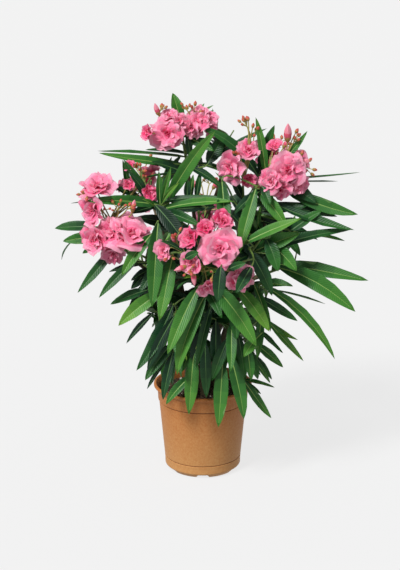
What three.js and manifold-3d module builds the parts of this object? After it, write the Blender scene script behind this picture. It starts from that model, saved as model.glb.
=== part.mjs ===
// A potted oleander in bloom, in millimetres, +Z up, with its origin at the middle of the pot's underside.
// Woody canes rise from the soil of a round nursery pot. Boughs leave the canes, and each cane and bough
// ends in a mass of long leaves, set in whorls of three on a green stem. Trusses of double blooms stand on
// the tips of those stems. The front of the plant looks along -Y.
import * as THREE from 'three';
import { mergeVertices } from 'three/addons/utils/BufferGeometryUtils.js';
import Module from 'manifold-3d';

const wasm = await Module();
wasm.setup();

// ---- Driving dimensions ----
const GAP = 0.3; // between solids that meet

const POT = {
  height: 137,
  rimRadius: 75,
  neckRadius: 69.4, // under the rolled rim
  neckHeight: 129,
  lipWidth: 3.5,
  collarHeight: 26, // from the rim down to the step in the wall
  collarStep: 1.4, // the collar stands this far proud of the wall
  wallTopRadius: 67, // under the collar
  bandRadius: 58, // the foot band, upright
  bandLow: 7,
  bandHigh: 14,
  footRadius: 51.5,
  footWidth: 6,
  wall: 2.4,
  floorLift: 4, // the floor hangs this high between the foot ring and the middle pad
  floorRound: 4.5, // where floor and wall meet inside
  padRadius: 12,
  notches: 6,
  notchWidth: 17,
  notchHeight: 3.5,
  segments: 32,
};
const SOIL = { top: 120, flatRadius: 42, edgeDrop: 1.5 };

const CANE = { flare: 2.6, flareReach: 14, sides: 6, steps: 7 };
const BOUGH = { baseRadius: 3.1, sides: 5, steps: 5 };
const LIMB = { tipRadius: 2.3, pull: 0.38, follow: 0.6 }; // follow: how far a bough sets off along its parent

const STEM = { length: 58, whorls: 4 };
const SIDE_TWIG = { share: 0.6, whorls: 2, lean: 52, start: 0.3, turn: 90, phase: 40 };
const TWIG = { radius: 2.1, taper: 0.8, sides: 3 };
const LEAF = {
  length: 128,
  width: 23,
  slimness: 0.18, // a long leaf is no wider than this share of its length
  thickness: 1.7, // of the keel, under the middle line
  fold: 2.2, // how far the edges rise over the middle line
  sections: [0.33, 0.7], // shares of the length between root and tip
  leastBend: 0.02, // in radians
  plumb: 0.15, // a leaf bends no nearer to straight down than this, in radians
};
const WHORL = {
  leaves: 3,
  first: 0.9, // the first whorl stands this many steps up the shoot
  turn: 0.22, // how far a leaf strays round the shoot, in radians
  opening: 8, // and in its angle to the shoot, in degrees
  sizes: [0.86, 1.12],
  tipSize: 0.85, // of the leaves at the shoot's tip, against those at its foot
  droops: [0.6, 1.3],
  cup: 0.2, // how far the leaf's face looks back to the shoot
  roll: 0.35,
};
const REACH = { first: 0.3, last: 0.9, droop: 40, frontal: 1.2 };
const ROOM = {
  rootReach: 30, // leaves of one shoot may touch this near to their roots
  apart: 3.5, // and stay this far apart beyond that
  clearance: 0.7, // of a leaf's faces from all that belongs to its neighbours
  tipClearance: 1,
  edgeClearance: 0.8,
  fringe: 40, // the leaves of neighbouring masses pass between each other this deep
  overPot: 3,
  floor: 6,
};
const TRIES = [1, 0.86, 0.72, 0.6]; // a leaf that doesn't fit is tried again at these shares of its length
const SEAT = { reach: 0.45, out: 30, sink: 0.75 };

const BLOOM = { radius: 29, petals: 5, heart: 0.45, calyx: 0.62, edge: 0.12, valley: 0.82, valleyDrop: 0.06 };
const BUD = { length: 17, radius: 4.2, foot: 0.45 };
const STALK = { radius: 1.9, tipRadius: 1.6, sink: 2, pedicelRadius: 1.1, neck: 4, node: 0.45, lastFork: 0.4 };
const HEEL = { back: 0.2, out: 0.3 }; // where a stalk meets its bloom, as shares of the bloom's radius
const TRUSS = { setBack: 4, cone: 0.32, splay: 0.011, budSpread: 1.1, budLean: 0.25 };

// The crown's reach from its own middle at each height, as [height, reach].
const CROWN = [
  [60, 88], [112, 104], [142, 115], [197, 146], [237, 168], [268, 186], [300, 205], [379, 220],
  [410, 216], [458, 194], [505, 152], [545, 104], [592, 50],
];
const CROWN_MIDDLE = [10, 0];

const COLOURS = { pot: 0xb0703f, soil: 0x2b241f, bark: 0x6d6146, leaf: 0x3f7a35, bloom: 0xdb6f93 };

// ---- The masses of foliage ----
// hub is the middle of the mass's stem and axis its direction. Leaves open from the stem at the angle low
// at its foot and high at its tip, bend over by droop, and start from phase round it, all in degrees. size
// scales them. reach lists the tips of the long leaves that carry the crown's outline on that side.
const MASSES = [
  {
    name: 'top', hub: [-27, 10, 498], axis: [-0.15, 0, 1],
    low: 88, high: 25, droop: 18, phase: 10, size: 0.9,
    reach: [[-42, 34, 576], [-156, 0, 498], [-84, -20, 505]],
  },
  {
    name: 'top_right', hub: [32, 34, 484], axis: [0.15, 0, 1],
    low: 85, high: 35, droop: 30, phase: 40, size: 0.7,
    reach: [[73, 0, 530]],
  },
  {
    name: 'left_high', hub: [-56, -44, 432], axis: [-0.2, -0.2, 1],
    low: 85, high: 30, droop: 20, phase: 0, size: 1,
    reach: [[17, -60, 539], [-167, -70, 439], [-84, -60, 458]],
  },
  {
    name: 'mid_high', hub: [56, -22, 408], axis: [0.1, -0.3, 1],
    low: 95, high: 50, droop: 45, phase: 20, size: 1,
    reach: [[54, -92, 370], [34, -80, 417]],
  },
  {
    name: 'right_high', hub: [104, -26, 446], axis: [0.25, -0.2, 1],
    low: 85, high: 25, droop: 22, phase: 0, size: 1,
    reach: [[103, -20, 539], [150, -20, 533], [225, -60, 420], [233, 0, 466], [217, -92, 400]],
  },
  {
    name: 'mid_right', hub: [72, -84, 372], axis: [0.35, -0.6, 0.7],
    low: 80, high: 40, droop: 40, phase: 30, size: 1,
    reach: [[136, -96, 419], [138, -124, 407]],
  },
  {
    name: 'right', hub: [118, -16, 324], axis: [0.85, -0.1, 0.35],
    low: 70, high: 20, droop: 38, phase: 0, size: 1,
    reach: [[198, -40, 188], [222, -94, 281], [243, -50, 320], [217, 0, 378]],
  },
  {
    name: 'left', hub: [-124, -36, 368], axis: [-0.6, -0.2, 0.75],
    low: 85, high: 35, droop: 35, phase: 50, size: 0.9,
    reach: [[-184, -60, 299], [-151, -90, 301], [-202, -50, 360], [-219, 0, 382]],
  },
  {
    name: 'left_low', hub: [-72, -74, 348], axis: [-0.4, -0.6, 0.5],
    low: 80, high: 35, droop: 55, phase: 20, size: 1,
    reach: [[-114, -120, 345], [-74, -150, 307], [-64, -130, 280]],
  },
  {
    name: 'front', hub: [0, -94, 312], axis: [0, -0.6, 0.75],
    low: 80, high: 40, droop: 60, phase: 0, size: 1,
    reach: [[-50, -160, 239], [-30, -156, 205], [75, -160, 252], [96, -130, 264]],
  },
  {
    name: 'centre', hub: [-6, -26, 388], axis: [0, -0.25, 1],
    low: 90, high: 45, droop: 35, phase: 30, size: 1,
    reach: [],
  },
  {
    name: 'low_front', hub: [6, -64, 250], axis: [0.1, -0.6, 0.7],
    low: 80, high: 40, droop: 60, phase: 0, size: 1,
    reach: [[34, -128, 150], [-28, -126, 162]],
  },
  {
    name: 'low_front_left', hub: [-36, -52, 224], axis: [-0.4, -0.45, 0.75],
    low: 80, high: 35, droop: 65, phase: 30, size: 0.9,
    reach: [[-83, -80, 155], [-50, -104, 138], [-23, -110, 124]],
  },
  {
    name: 'low_front_right', hub: [42, -52, 222], axis: [0.4, -0.45, 0.75],
    low: 80, high: 35, droop: 65, phase: 10, size: 0.9,
    reach: [[22, -112, 107], [62, -94, 110], [100, -60, 112], [84, -106, 160]],
  },
  {
    name: 'low_left', hub: [-60, -4, 240], axis: [-0.7, -0.1, 0.6],
    low: 80, high: 30, droop: 65, phase: 0, size: 0.85,
    reach: [[-138, -20, 267], [-130, -10, 229], [-114, -30, 210]],
  },
  {
    name: 'low_right', hub: [76, -4, 232], axis: [0.7, -0.1, 0.6],
    low: 80, high: 30, droop: 55, phase: 30, size: 0.85,
    reach: [[103, -40, 93], [120, -50, 160], [151, -30, 181], [141, -40, 221]],
  },
  {
    name: 'back_left_high', hub: [-84, 72, 420], axis: [-0.35, 0.35, 0.9],
    low: 85, high: 30, droop: 30, phase: 20, size: 1,
    reach: [],
  },
  {
    name: 'back_right_high', hub: [88, 84, 410], axis: [0.35, 0.4, 0.9],
    low: 85, high: 30, droop: 30, phase: 0, size: 1,
    reach: [],
  },
  {
    name: 'back_mid', hub: [4, 112, 342], axis: [0, 0.7, 0.7],
    low: 80, high: 35, droop: 50, phase: 40, size: 1,
    reach: [],
  },
  {
    name: 'back_left', hub: [-100, 50, 318], axis: [-0.7, 0.4, 0.5],
    low: 80, high: 35, droop: 50, phase: 10, size: 1,
    reach: [],
  },
  {
    name: 'back_right', hub: [102, 64, 304], axis: [0.7, 0.45, 0.5],
    low: 80, high: 35, droop: 50, phase: 30, size: 1,
    reach: [],
  },
  {
    name: 'back_low_left', hub: [-42, 60, 226], axis: [-0.4, 0.6, 0.7],
    low: 80, high: 35, droop: 65, phase: 0, size: 0.85,
    reach: [],
  },
  {
    name: 'back_low_right', hub: [46, 58, 224], axis: [0.4, 0.6, 0.7],
    low: 80, high: 35, droop: 65, phase: 20, size: 0.85,
    reach: [],
  },
];

// ---- The limbs ----
// A cane has a foot on the soil, as [degrees round the pot, mm from its middle], and a bough leaves another
// limb at a share of that limb's length. Both end at the stem of the mass that they are named for.
const CANES = [
  { mass: 'top', foot: [100, 8], radius: 5.4 },
  { mass: 'right_high', foot: [20, 24], radius: 5.0 },
  { mass: 'left_high', foot: [200, 24], radius: 5.0 },
  { mass: 'front', foot: [275, 25], radius: 4.8 },
  { mass: 'back_left_high', foot: [135, 30], radius: 4.8 },
  { mass: 'back_right_high', foot: [60, 32], radius: 4.8 },
];
const BOUGHS = [
  { mass: 'top_right', from: 'top', at: 0.66 },
  { mass: 'mid_high', from: 'right_high', at: 0.62 },
  { mass: 'mid_right', from: 'right_high', at: 0.5 },
  { mass: 'right', from: 'right_high', at: 0.36 },
  { mass: 'low_right', from: 'right_high', at: 0.16 },
  { mass: 'left', from: 'left_high', at: 0.52 },
  { mass: 'left_low', from: 'left_high', at: 0.36 },
  { mass: 'low_left', from: 'left_high', at: 0.18 },
  { mass: 'centre', from: 'top', at: 0.5 },
  { mass: 'low_front', from: 'front', at: 0.42 },
  { mass: 'low_front_left', from: 'front', at: 0.14 },
  { mass: 'low_front_right', from: 'front', at: 0.24 },
  { mass: 'back_left', from: 'back_left_high', at: 0.42 },
  { mass: 'back_low_left', from: 'back_left_high', at: 0.16 },
  { mass: 'back_mid', from: 'back_right_high', at: 0.42 },
  { mass: 'back_right', from: 'back_right_high', at: 0.3 },
  { mass: 'back_low_right', from: 'back_right_high', at: 0.14 },
];

// ---- The trusses of bloom ----
// lead is the largest bloom's place, size scales it, and facing is the way it looks. ring lists the other
// blooms as [degrees, mm, size] about the lead, seen from the front. buds is how many buds stand over the
// middle of the blooms, and rise how far.
const TRUSSES = [
  {
    name: 'top_left', mass: 'top', lead: [-55, -18, 537], size: 1, facing: [-0.1, -0.85, 0.5],
    buds: 2, rise: 28, ring: [[75, 26, 0.7], [196, 30, 0.65]],
  },
  {
    name: 'top_right', mass: 'top_right', lead: [0, 4, 538], size: 0.75, facing: [0.1, -0.8, 0.6],
    buds: 2, rise: 20, ring: [[150, 24, 0.6], [45, 20, 0.65], [345, 20, 0.6]],
  },
  {
    name: 'mid', mass: 'mid_high', lead: [38, -58, 488], size: 0.78, facing: [-0.2, -0.85, 0.5],
    buds: 3, rise: 48, ring: [[48, 33, 0.65], [316, 30, 0.65]],
  },
  {
    name: 'right', mass: 'right_high', lead: [122, -62, 481], size: 0.95, facing: [0.1, -0.9, 0.4],
    buds: 3, rise: 44, ring: [[107, 38, 0.7], [243, 32, 0.65], [310, 32, 0.7]],
  },
  {
    name: 'left', mass: 'left', lead: [-109, -98, 399], size: 1, facing: [0, -0.9, 0.4],
    buds: 3, rise: 46, ring: [[127, 80, 0.85], [155, 62, 0.8], [213, 52, 0.7], [60, 60, 0.6]],
  },
  {
    name: 'front', mass: 'front', lead: [19, -165, 395], size: 1, facing: [0, -0.9, 0.4],
    buds: 3, rise: 38,
    ring: [[166, 40, 0.75], [112, 30, 0.65], [190, 74, 0.6], [240, 50, 0.65], [302, 56, 0.7]],
  },
  {
    name: 'back_left', mass: 'back_left_high', lead: [-92, 122, 440], size: 1, facing: [-0.4, 0.7, 0.6],
    buds: 2, rise: 34, ring: [[60, 36, 0.7], [180, 36, 0.7], [280, 36, 0.75]],
  },
  {
    name: 'back_right', mass: 'back_right_high', lead: [112, 132, 452], size: 1, facing: [0.4, 0.75, 0.5],
    buds: 2, rise: 34, ring: [[20, 36, 0.7], [120, 36, 0.7], [240, 36, 0.75]],
  },
  {
    name: 'back_mid', mass: 'back_mid', lead: [4, 172, 402], size: 0.95, facing: [0, 0.9, 0.45],
    buds: 2, rise: 36, ring: [[60, 38, 0.7], [150, 38, 0.75], [270, 38, 0.65]],
  },
];

// ---- Small tools ----
const vec = (x, y, z) => new THREE.Vector3(x, y, z);
const UP = vec(0, 0, 1);
const DOWN = vec(0, 0, -1);
const FRONT = vec(0, -1, 0);
const degrees = (angle) => (angle * Math.PI) / 180;
const mix = (a, b, t) => a + (b - a) * t;

// The direction at an angle round an axis, square to it.
function outFrom(axis, angle) {
  const across = axis.clone().cross(Math.abs(axis.z) < 0.9 ? UP : vec(0, 1, 0)).normalize();
  const up = across.clone().cross(axis);
  return across.multiplyScalar(Math.cos(angle)).addScaledVector(up, Math.sin(angle));
}

// A direction leaned from an axis towards another that is square to it.
function leaned(axis, towards, angle) {
  return axis.clone().multiplyScalar(Math.cos(angle)).addScaledVector(towards, Math.sin(angle));
}

// The direction square to an axis that goes down most steeply.
const downFrom = (axis) => DOWN.clone().addScaledVector(axis, -DOWN.dot(axis)).normalize();

// A seeded source of numbers from 0 to 1, so that each run grows the same plant.
class Dice {
  constructor(seed) {
    this.state = seed >>> 0;
  }
  next() {
    this.state = (Math.imul(this.state, 1664525) + 1013904223) >>> 0;
    return this.state / 2 ** 32;
  }
  between(low, high) {
    return mix(low, high, this.next());
  }
}

// A closed solid from a geometry, turned so that its faces point out.
function solidOf(geometry) {
  const loose = geometry.index ? geometry.toNonIndexed() : geometry;
  const bare = new THREE.BufferGeometry().setAttribute('position', loose.getAttribute('position'));
  const merged = mergeVertices(bare, 1e-3);
  const kept = [];
  const index = merged.index.array;
  for (let i = 0; i < index.length; i += 3) {
    const [a, b, c] = index.subarray(i, i + 3);
    if (a !== b && b !== c && c !== a) kept.push(a, b, c);
  }
  const vertProperties = merged.attributes.position.array;
  const make = (triVerts) => new wasm.Manifold(new wasm.Mesh({ numProp: 3, vertProperties, triVerts }));
  const solid = make(new Uint32Array(kept));
  return solid.volume() < 0 ? make(new Uint32Array(kept.reverse())) : solid;
}

// A closed solid from corner points and the polygons between them, each a fan from its first corner.
function facetSolid(points, polygons) {
  const corners = [];
  for (const polygon of polygons) {
    for (let i = 2; i < polygon.length; i++) {
      for (const k of [polygon[0], polygon[i - 1], polygon[i]]) corners.push(...points[k].toArray());
    }
  }
  const position = new THREE.Float32BufferAttribute(corners, 3);
  return solidOf(new THREE.BufferGeometry().setAttribute('position', position));
}

function geometryOf(solid) {
  const mesh = solid.getMesh();
  const geometry = new THREE.BufferGeometry();
  geometry.setAttribute('position', new THREE.BufferAttribute(Float32Array.from(mesh.vertProperties), 3));
  geometry.setIndex(new THREE.BufferAttribute(Uint32Array.from(mesh.triVerts), 1));
  geometry.computeVertexNormals();
  return geometry;
}

// A solid of revolution round Z from a profile of [radius, height] pairs that starts and ends on the axis.
function turned(profile, segments) {
  const points = profile.map(([radius, height]) => new THREE.Vector2(radius, height));
  return solidOf(new THREE.LatheGeometry(points, segments).rotateX(Math.PI / 2));
}

// A tapering tube along a curve, with flat ends. radiusAt gives the radius at each share of the length.
function tube(curve, radiusAt, sides, steps) {
  const frames = curve.computeFrenetFrames(steps, false);
  const points = [];
  for (let i = 0; i <= steps; i++) {
    const centre = curve.getPointAt(i / steps);
    for (let k = 0; k < sides; k++) {
      const turn = (2 * Math.PI * k) / sides;
      const out = frames.normals[i].clone().multiplyScalar(Math.cos(turn));
      out.addScaledVector(frames.binormals[i], Math.sin(turn));
      points.push(centre.clone().addScaledVector(out, radiusAt(i / steps)));
    }
  }
  const ring = (i) => Array.from({ length: sides }, (_, k) => i * sides + k);
  const polygons = [ring(0).reverse(), ring(steps)];
  for (let i = 0; i < steps; i++) {
    for (let k = 0; k < sides; k++) {
      const next = (k + 1) % sides;
      polygons.push([i * sides + k, i * sides + next, (i + 1) * sides + next, (i + 1) * sides + k]);
    }
  }
  return facetSolid(points, polygons);
}

// A straight stalk or twig.
function stalk(from, to, startRadius, endRadius = startRadius) {
  return tube(new THREE.LineCurve3(from, to), (t) => mix(startRadius, endRadius, t), TWIG.sides, 1);
}

// Solids joined as one body. A hollow that the join seals is filled.
function fuse(solids) {
  const bodies = wasm.Manifold.union(solids).decompose();
  return bodies.reduce((largest, body) => (body.volume() > largest.volume() ? body : largest));
}

// ---- Pot and soil ----
const innerFloor = POT.floorLift + POT.wall;
const collarLow = POT.height - POT.collarHeight;

// The pot's inner radius at a height, along its straight wall.
function innerRadiusAt(height) {
  const share = (height - POT.bandHigh) / (collarLow - POT.bandHigh);
  return mix(POT.bandRadius, POT.wallTopRadius, share) - POT.wall;
}

function makePot() {
  const p = POT;
  const floorEdge = innerRadiusAt(innerFloor + p.floorRound);
  const profile = [
    [0, 0],
    [p.padRadius, 0],
    [p.padRadius + 1, p.floorLift],
    [p.footRadius - p.footWidth - 2, p.floorLift],
    [p.footRadius - p.footWidth, 0],
    [p.footRadius, 0],
    [p.bandRadius, p.bandLow],
    [p.bandRadius, p.bandHigh],
    [p.wallTopRadius, collarLow],
    [p.wallTopRadius + p.collarStep, collarLow + 1.2],
    [p.neckRadius, p.neckHeight],
    [p.rimRadius, p.height - 4],
    [p.rimRadius, p.height - 1],
    [p.rimRadius - p.lipWidth, p.height],
    [p.neckRadius - p.wall + 0.6, p.neckHeight + 1],
    [floorEdge, innerFloor + p.floorRound],
    [floorEdge - p.floorRound, innerFloor],
    [0, innerFloor],
  ];
  let pot = turned(profile, p.segments);
  for (let i = 0; i < p.notches; i++) {
    const notch = new THREE.BoxGeometry(p.notchWidth, 4 * p.footWidth, 2 * p.notchHeight);
    notch.translate(0, -p.footRadius, 0).rotateZ((2 * Math.PI * i) / p.notches);
    pot = pot.subtract(solidOf(notch));
  }
  return pot;
}

function makeSoil() {
  const low = innerFloor + POT.floorRound + GAP;
  const slack = 2 * GAP;
  const profile = [
    [0, innerFloor + GAP],
    [innerRadiusAt(low) - POT.floorRound - slack, innerFloor + GAP],
    [innerRadiusAt(low) - slack, low],
    [innerRadiusAt(collarLow) - slack, collarLow],
    [innerRadiusAt(collarLow) - GAP, SOIL.top - SOIL.edgeDrop],
    [SOIL.flatRadius, SOIL.top],
    [0, SOIL.top],
  ];
  return turned(profile, POT.segments);
}

// ---- Where the stems and limbs run ----
const massNamed = {};
for (const mass of MASSES) {
  mass.axisUnit = vec(...mass.axis).normalize();
  mass.foot = vec(...mass.hub).addScaledVector(mass.axisUnit, -STEM.length / 2);
  mass.tip = vec(...mass.hub).addScaledVector(mass.axisUnit, STEM.length / 2);
  massNamed[mass.name] = mass;
}

// From a start to just short of a mass's stem, in line with that stem at the end.
function limbCurve(start, direction, mass) {
  const end = mass.foot.clone().addScaledVector(mass.axisUnit, -GAP);
  const pull = start.distanceTo(end) * LIMB.pull;
  const leaving = start.clone().addScaledVector(direction, pull);
  const arriving = end.clone().addScaledVector(mass.axisUnit, -pull);
  return new THREE.CubicBezierCurve3(start, leaving, arriving, end);
}

const limbs = {};
for (const cane of CANES) {
  const [angle, distance] = cane.foot;
  const x = Math.cos(degrees(angle)) * distance;
  const y = Math.sin(degrees(angle)) * distance;
  const curve = limbCurve(vec(x, y, SOIL.top + GAP), UP, massNamed[cane.mass]);
  const length = curve.getLength();
  const flareAt = (t) => CANE.flare * Math.exp((-t * length) / CANE.flareReach);
  const radiusAt = (t) => mix(cane.radius, LIMB.tipRadius, t) + flareAt(t);
  const name = 'cane_' + cane.mass;
  limbs[cane.mass] = { name, curve, radiusAt, sides: CANE.sides, steps: CANE.steps };
}
for (const bough of BOUGHS) {
  const parent = limbs[bough.from];
  const mass = massNamed[bough.mass];
  const start = parent.curve.getPointAt(bough.at);
  const away = mass.foot.clone().sub(start).normalize();
  const direction = away.addScaledVector(parent.curve.getTangentAt(bough.at), LIMB.follow).normalize();
  const curve = limbCurve(start, direction, mass);
  const radiusAt = (t) => mix(BOUGH.baseRadius, LIMB.tipRadius, t);
  const name = 'bough_' + bough.mass;
  limbs[bough.mass] = { name, curve, radiusAt, parent, sides: BOUGH.sides, steps: BOUGH.steps };
}

// A limb, cut clear of the limb that it leaves.
function limbSolid({ curve, radiusAt, parent, sides, steps }) {
  const solid = tube(curve, radiusAt, sides, steps);
  if (!parent) return solid;
  return solid.subtract(tube(parent.curve, (t) => parent.radiusAt(t) + GAP, parent.sides, parent.steps));
}

// ---- Trusses ----
// A double bloom: a ring of outer petals round a raised heart, over a pointed calyx.
function bloomSolid({ centre, facing, radius, turn }) {
  const at = (angle, r, lift) => {
    const point = centre.clone().addScaledVector(facing, lift * radius);
    return point.addScaledVector(outFrom(facing, angle), r * radius);
  };
  const step = (2 * Math.PI) / BLOOM.petals;
  const points = [at(0, 0, BLOOM.heart), at(0, 0, -BLOOM.calyx)];
  for (let i = 0; i < BLOOM.petals; i++) {
    points.push(at(turn + i * step, 1, BLOOM.edge));
    points.push(at(turn + (i + 0.5) * step, BLOOM.valley, -BLOOM.valleyDrop));
  }
  const edges = 2 * BLOOM.petals;
  const edge = (i) => 2 + (i % edges);
  const polygons = [];
  for (let i = 0; i < edges; i++) polygons.push([0, edge(i), edge(i + 1)], [1, edge(i + 1), edge(i)]);
  return facetSolid(points, polygons);
}

// A closed bud: a spindle of four sides.
function budSolid({ centre, facing }) {
  const points = [-BUD.foot, 1 - BUD.foot].map((share) => {
    return centre.clone().addScaledVector(facing, share * BUD.length);
  });
  for (let i = 0; i < 4; i++) {
    points.push(centre.clone().addScaledVector(outFrom(facing, (i * Math.PI) / 2), BUD.radius));
  }
  const polygons = [];
  for (let i = 0; i < 4; i++) {
    const [a, b] = [2 + i, 2 + ((i + 1) % 4)];
    polygons.push([0, b, a], [1, a, b]);
  }
  return facetSolid(points, polygons);
}

// The blooms and buds of a truss, and the stalks that lead to them from the tip of the mass's stem.
function layOutTruss(truss, seed) {
  const dice = new Dice(seed);
  const facing = vec(...truss.facing).normalize();
  const lead = vec(...truss.lead);
  const side = Math.sign(facing.y);
  const heads = [{ centre: lead, facing, radius: BLOOM.radius * truss.size, turn: dice.next() }];
  for (const [angle, distance, size] of truss.ring) {
    const offset = vec(Math.cos(degrees(angle)), 0, Math.sin(degrees(angle))).multiplyScalar(distance);
    const centre = lead.clone().add(offset);
    centre.y -= side * (TRUSS.setBack + distance * TRUSS.cone);
    const look = facing.clone().addScaledVector(offset, TRUSS.splay).normalize();
    heads.push({ centre, facing: look, radius: BLOOM.radius * size, turn: dice.next() });
  }
  const middle = heads.reduce((sum, head) => sum.add(head.centre), vec(0, 0, 0)).divideScalar(heads.length);
  const { tip, axisUnit } = massNamed[truss.mass];
  const foot = tip.clone().addScaledVector(axisUnit, GAP);
  const neck = foot.clone().addScaledVector(axisUnit, STALK.neck);
  const node = middle.clone().lerp(neck, STALK.node);
  const buds = [];
  for (let i = 0; i < truss.buds; i++) {
    const spread = mix(-1, 1, (i + 0.5) / truss.buds) * TRUSS.budSpread + dice.between(-0.12, 0.12);
    const height = Math.cos(spread) * dice.between(0.8, 1.2);
    const way = vec(Math.sin(spread), side * TRUSS.budLean, height).normalize();
    const rise = truss.rise * dice.between(0.9, 1.2);
    buds.push({ centre: middle.clone().addScaledVector(way, rise), facing: way });
  }
  [...heads, ...buds].forEach((end, i, ends) => {
    end.from = neck.clone().lerp(node, mix(1, STALK.lastFork, i / ends.length));
  });
  return { heads, buds, node, foot, neck };
}

// A bloom's stalk ends beside the point of its calyx, on the side that it grows from.
function heelOf({ centre, facing, radius, from }) {
  const inward = from.clone().sub(centre);
  inward.addScaledVector(facing, -inward.dot(facing)).normalize();
  const heel = centre.clone().addScaledVector(facing, -HEEL.back * radius);
  return heel.addScaledVector(inward, HEEL.out * radius);
}

function trussSolid(truss, seed) {
  const { heads, buds, node, foot, neck } = layOutTruss(truss, seed);
  const way = node.clone().sub(neck).normalize();
  const start = neck.clone().addScaledVector(way, -STALK.sink);
  const end = node.clone().addScaledVector(way, STALK.sink);
  const pieces = [stalk(foot, neck, TWIG.radius), stalk(start, end, STALK.radius, STALK.tipRadius)];
  for (const head of heads) {
    pieces.push(stalk(head.from, heelOf(head), STALK.pedicelRadius), bloomSolid(head));
  }
  for (const bud of buds) pieces.push(stalk(bud.from, bud.centre, STALK.pedicelRadius), budSolid(bud));
  return fuse(pieces);
}

// ---- Leaves ----
// A leaf's middle line is an arc that bends towards the ground by its droop, and its width along that line
// goes as t^0.75 (1 - t)^0.62, which is widest a little past the middle.
const widthShare = (t) => (t ** 0.75 * (1 - t) ** 0.62) / 0.389;

// Where the leaf is at a share of its length: its middle line, the way across it and the way it faces.
function leafAt({ base, direction, normal, length, droop }, t) {
  const bend = Math.max(LEAF.leastBend, Math.min(droop, direction.angleTo(DOWN) - LEAF.plumb));
  const over = downFrom(direction);
  const turn = bend * t;
  const centre = base.clone().addScaledVector(direction, (length * Math.sin(turn)) / bend);
  centre.addScaledVector(over, (length * (1 - Math.cos(turn))) / bend);
  const along = leaned(direction, over, turn);
  const side = along.clone().cross(normal).normalize();
  return { centre, side, face: side.clone().cross(along).normalize() };
}

// The corners of a leaf: its root, then a keel, a left and a right edge at each section, and its tip. A
// margin makes it thicker.
function leafCorners(leaf, margin = 0) {
  const corners = [leaf.base.clone()];
  for (const t of LEAF.sections) {
    const { centre, side, face } = leafAt(leaf, t);
    const half = (leaf.width / 2) * widthShare(t);
    const rim = centre.clone().addScaledVector(face, LEAF.fold + margin);
    corners.push(centre.clone().addScaledVector(face, -LEAF.thickness - margin));
    corners.push(rim.clone().addScaledVector(side, half));
    corners.push(rim.clone().addScaledVector(side, -half));
  }
  corners.push(leafAt(leaf, 1).centre);
  return corners;
}

function leafSolid(corners) {
  const tip = corners.length - 1;
  const polygons = [];
  for (const [a, b] of [[0, 1], [1, 2], [2, 0]]) {
    polygons.push([0, 1 + a, 1 + b], [tip, tip - 3 + b, tip - 3 + a]);
    for (let s = 1; s + 3 < tip; s += 3) {
      polygons.push([s + a, s + 3 + a, s + 3 + b], [s + a, s + 3 + b, s + b]);
    }
  }
  return facetSolid(corners, polygons);
}

// Points along a leaf's keel and its two edges.
function leafSamples(corners) {
  const tip = corners.at(-1);
  const samples = [tip];
  for (let k = 1; k <= 3; k++) {
    const line = [corners[0], corners[k], corners[k + 3], tip];
    for (let r = 0; r + 1 < line.length; r++) {
      for (let i = 0; i < 8; i++) samples.push(line[r].clone().lerp(line[r + 1], i / 8));
    }
  }
  return samples;
}

// The leaves of one shoot: whorls of three, each turned by half a step from the last.
function whorlLeaves(dice, mass, shoot) {
  const leaves = [];
  for (let k = 0; k < shoot.whorls; k++) {
    const share = (k + WHORL.first) / (shoot.whorls + 1 - WHORL.first);
    const base = shoot.foot.clone().addScaledVector(shoot.axis, share * shoot.length);
    for (let j = 0; j < WHORL.leaves; j++) {
      const around = degrees(shoot.phase + (360 / WHORL.leaves) * (j + k / 2));
      const out = outFrom(shoot.axis, around + dice.between(-WHORL.turn, WHORL.turn));
      const opening = mix(mass.low, mass.high, share) + dice.between(-WHORL.opening, WHORL.opening);
      const direction = leaned(shoot.axis, out, degrees(opening));
      const size = mass.size * mix(1, WHORL.tipSize, share) * dice.between(...WHORL.sizes);
      const roll = dice.between(-WHORL.roll, WHORL.roll);
      const normal = shoot.axis.clone().addScaledVector(out, -WHORL.cup).applyAxisAngle(direction, roll);
      const droop = degrees(mass.droop) * dice.between(...WHORL.droops);
      const [length, width] = [LEAF.length * size, LEAF.width * Math.sqrt(size)];
      leaves.push({ base, direction, normal, droop, length, width });
    }
  }
  return leaves;
}

// The long leaf from a mass's stem that ends at a given tip, its face turned to the front.
function reachLeaf(mass, tip, share) {
  const base = mass.foot.clone().addScaledVector(mass.axisUnit, share * STEM.length);
  const chord = vec(...tip).sub(base);
  const span = chord.length();
  const over = downFrom(chord.normalize());
  const droop = degrees(Math.min(mass.droop, REACH.droop));
  const direction = leaned(chord, over, -droop / 2);
  const length = (span * droop) / (2 * Math.sin(droop / 2));
  const width = Math.min(LEAF.width, LEAF.slimness * length);
  const normal = over.clone().negate().addScaledVector(FRONT, REACH.frontal);
  return { base, direction, normal, droop, length, width, isReach: true };
}

// ---- Room for leaves ----
// Everything that stands so far, each solid with its owner and its box.
const standing = [];

function boxOf(solid) {
  const { min, max } = solid.boundingBox();
  return new THREE.Box3(vec(...min), vec(...max));
}

function stand(owner, solid) {
  standing.push({ owner, solid, box: boxOf(solid) });
}

// True where a solid touches nothing that stands, apart from what its own mass owns.
function hasRoom(owner, solid) {
  const box = boxOf(solid);
  return standing.every((other) => {
    return other.owner === owner || !other.box.intersectsBox(box) || other.solid.intersect(solid).isEmpty();
  });
}

function isClearOfPot(points) {
  return points.every((point) => {
    const isOverPot = Math.hypot(point.x, point.y) < POT.rimRadius + ROOM.overPot;
    return point.z > ROOM.floor && !(isOverPot && point.z < POT.height + ROOM.overPot);
  });
}

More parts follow.
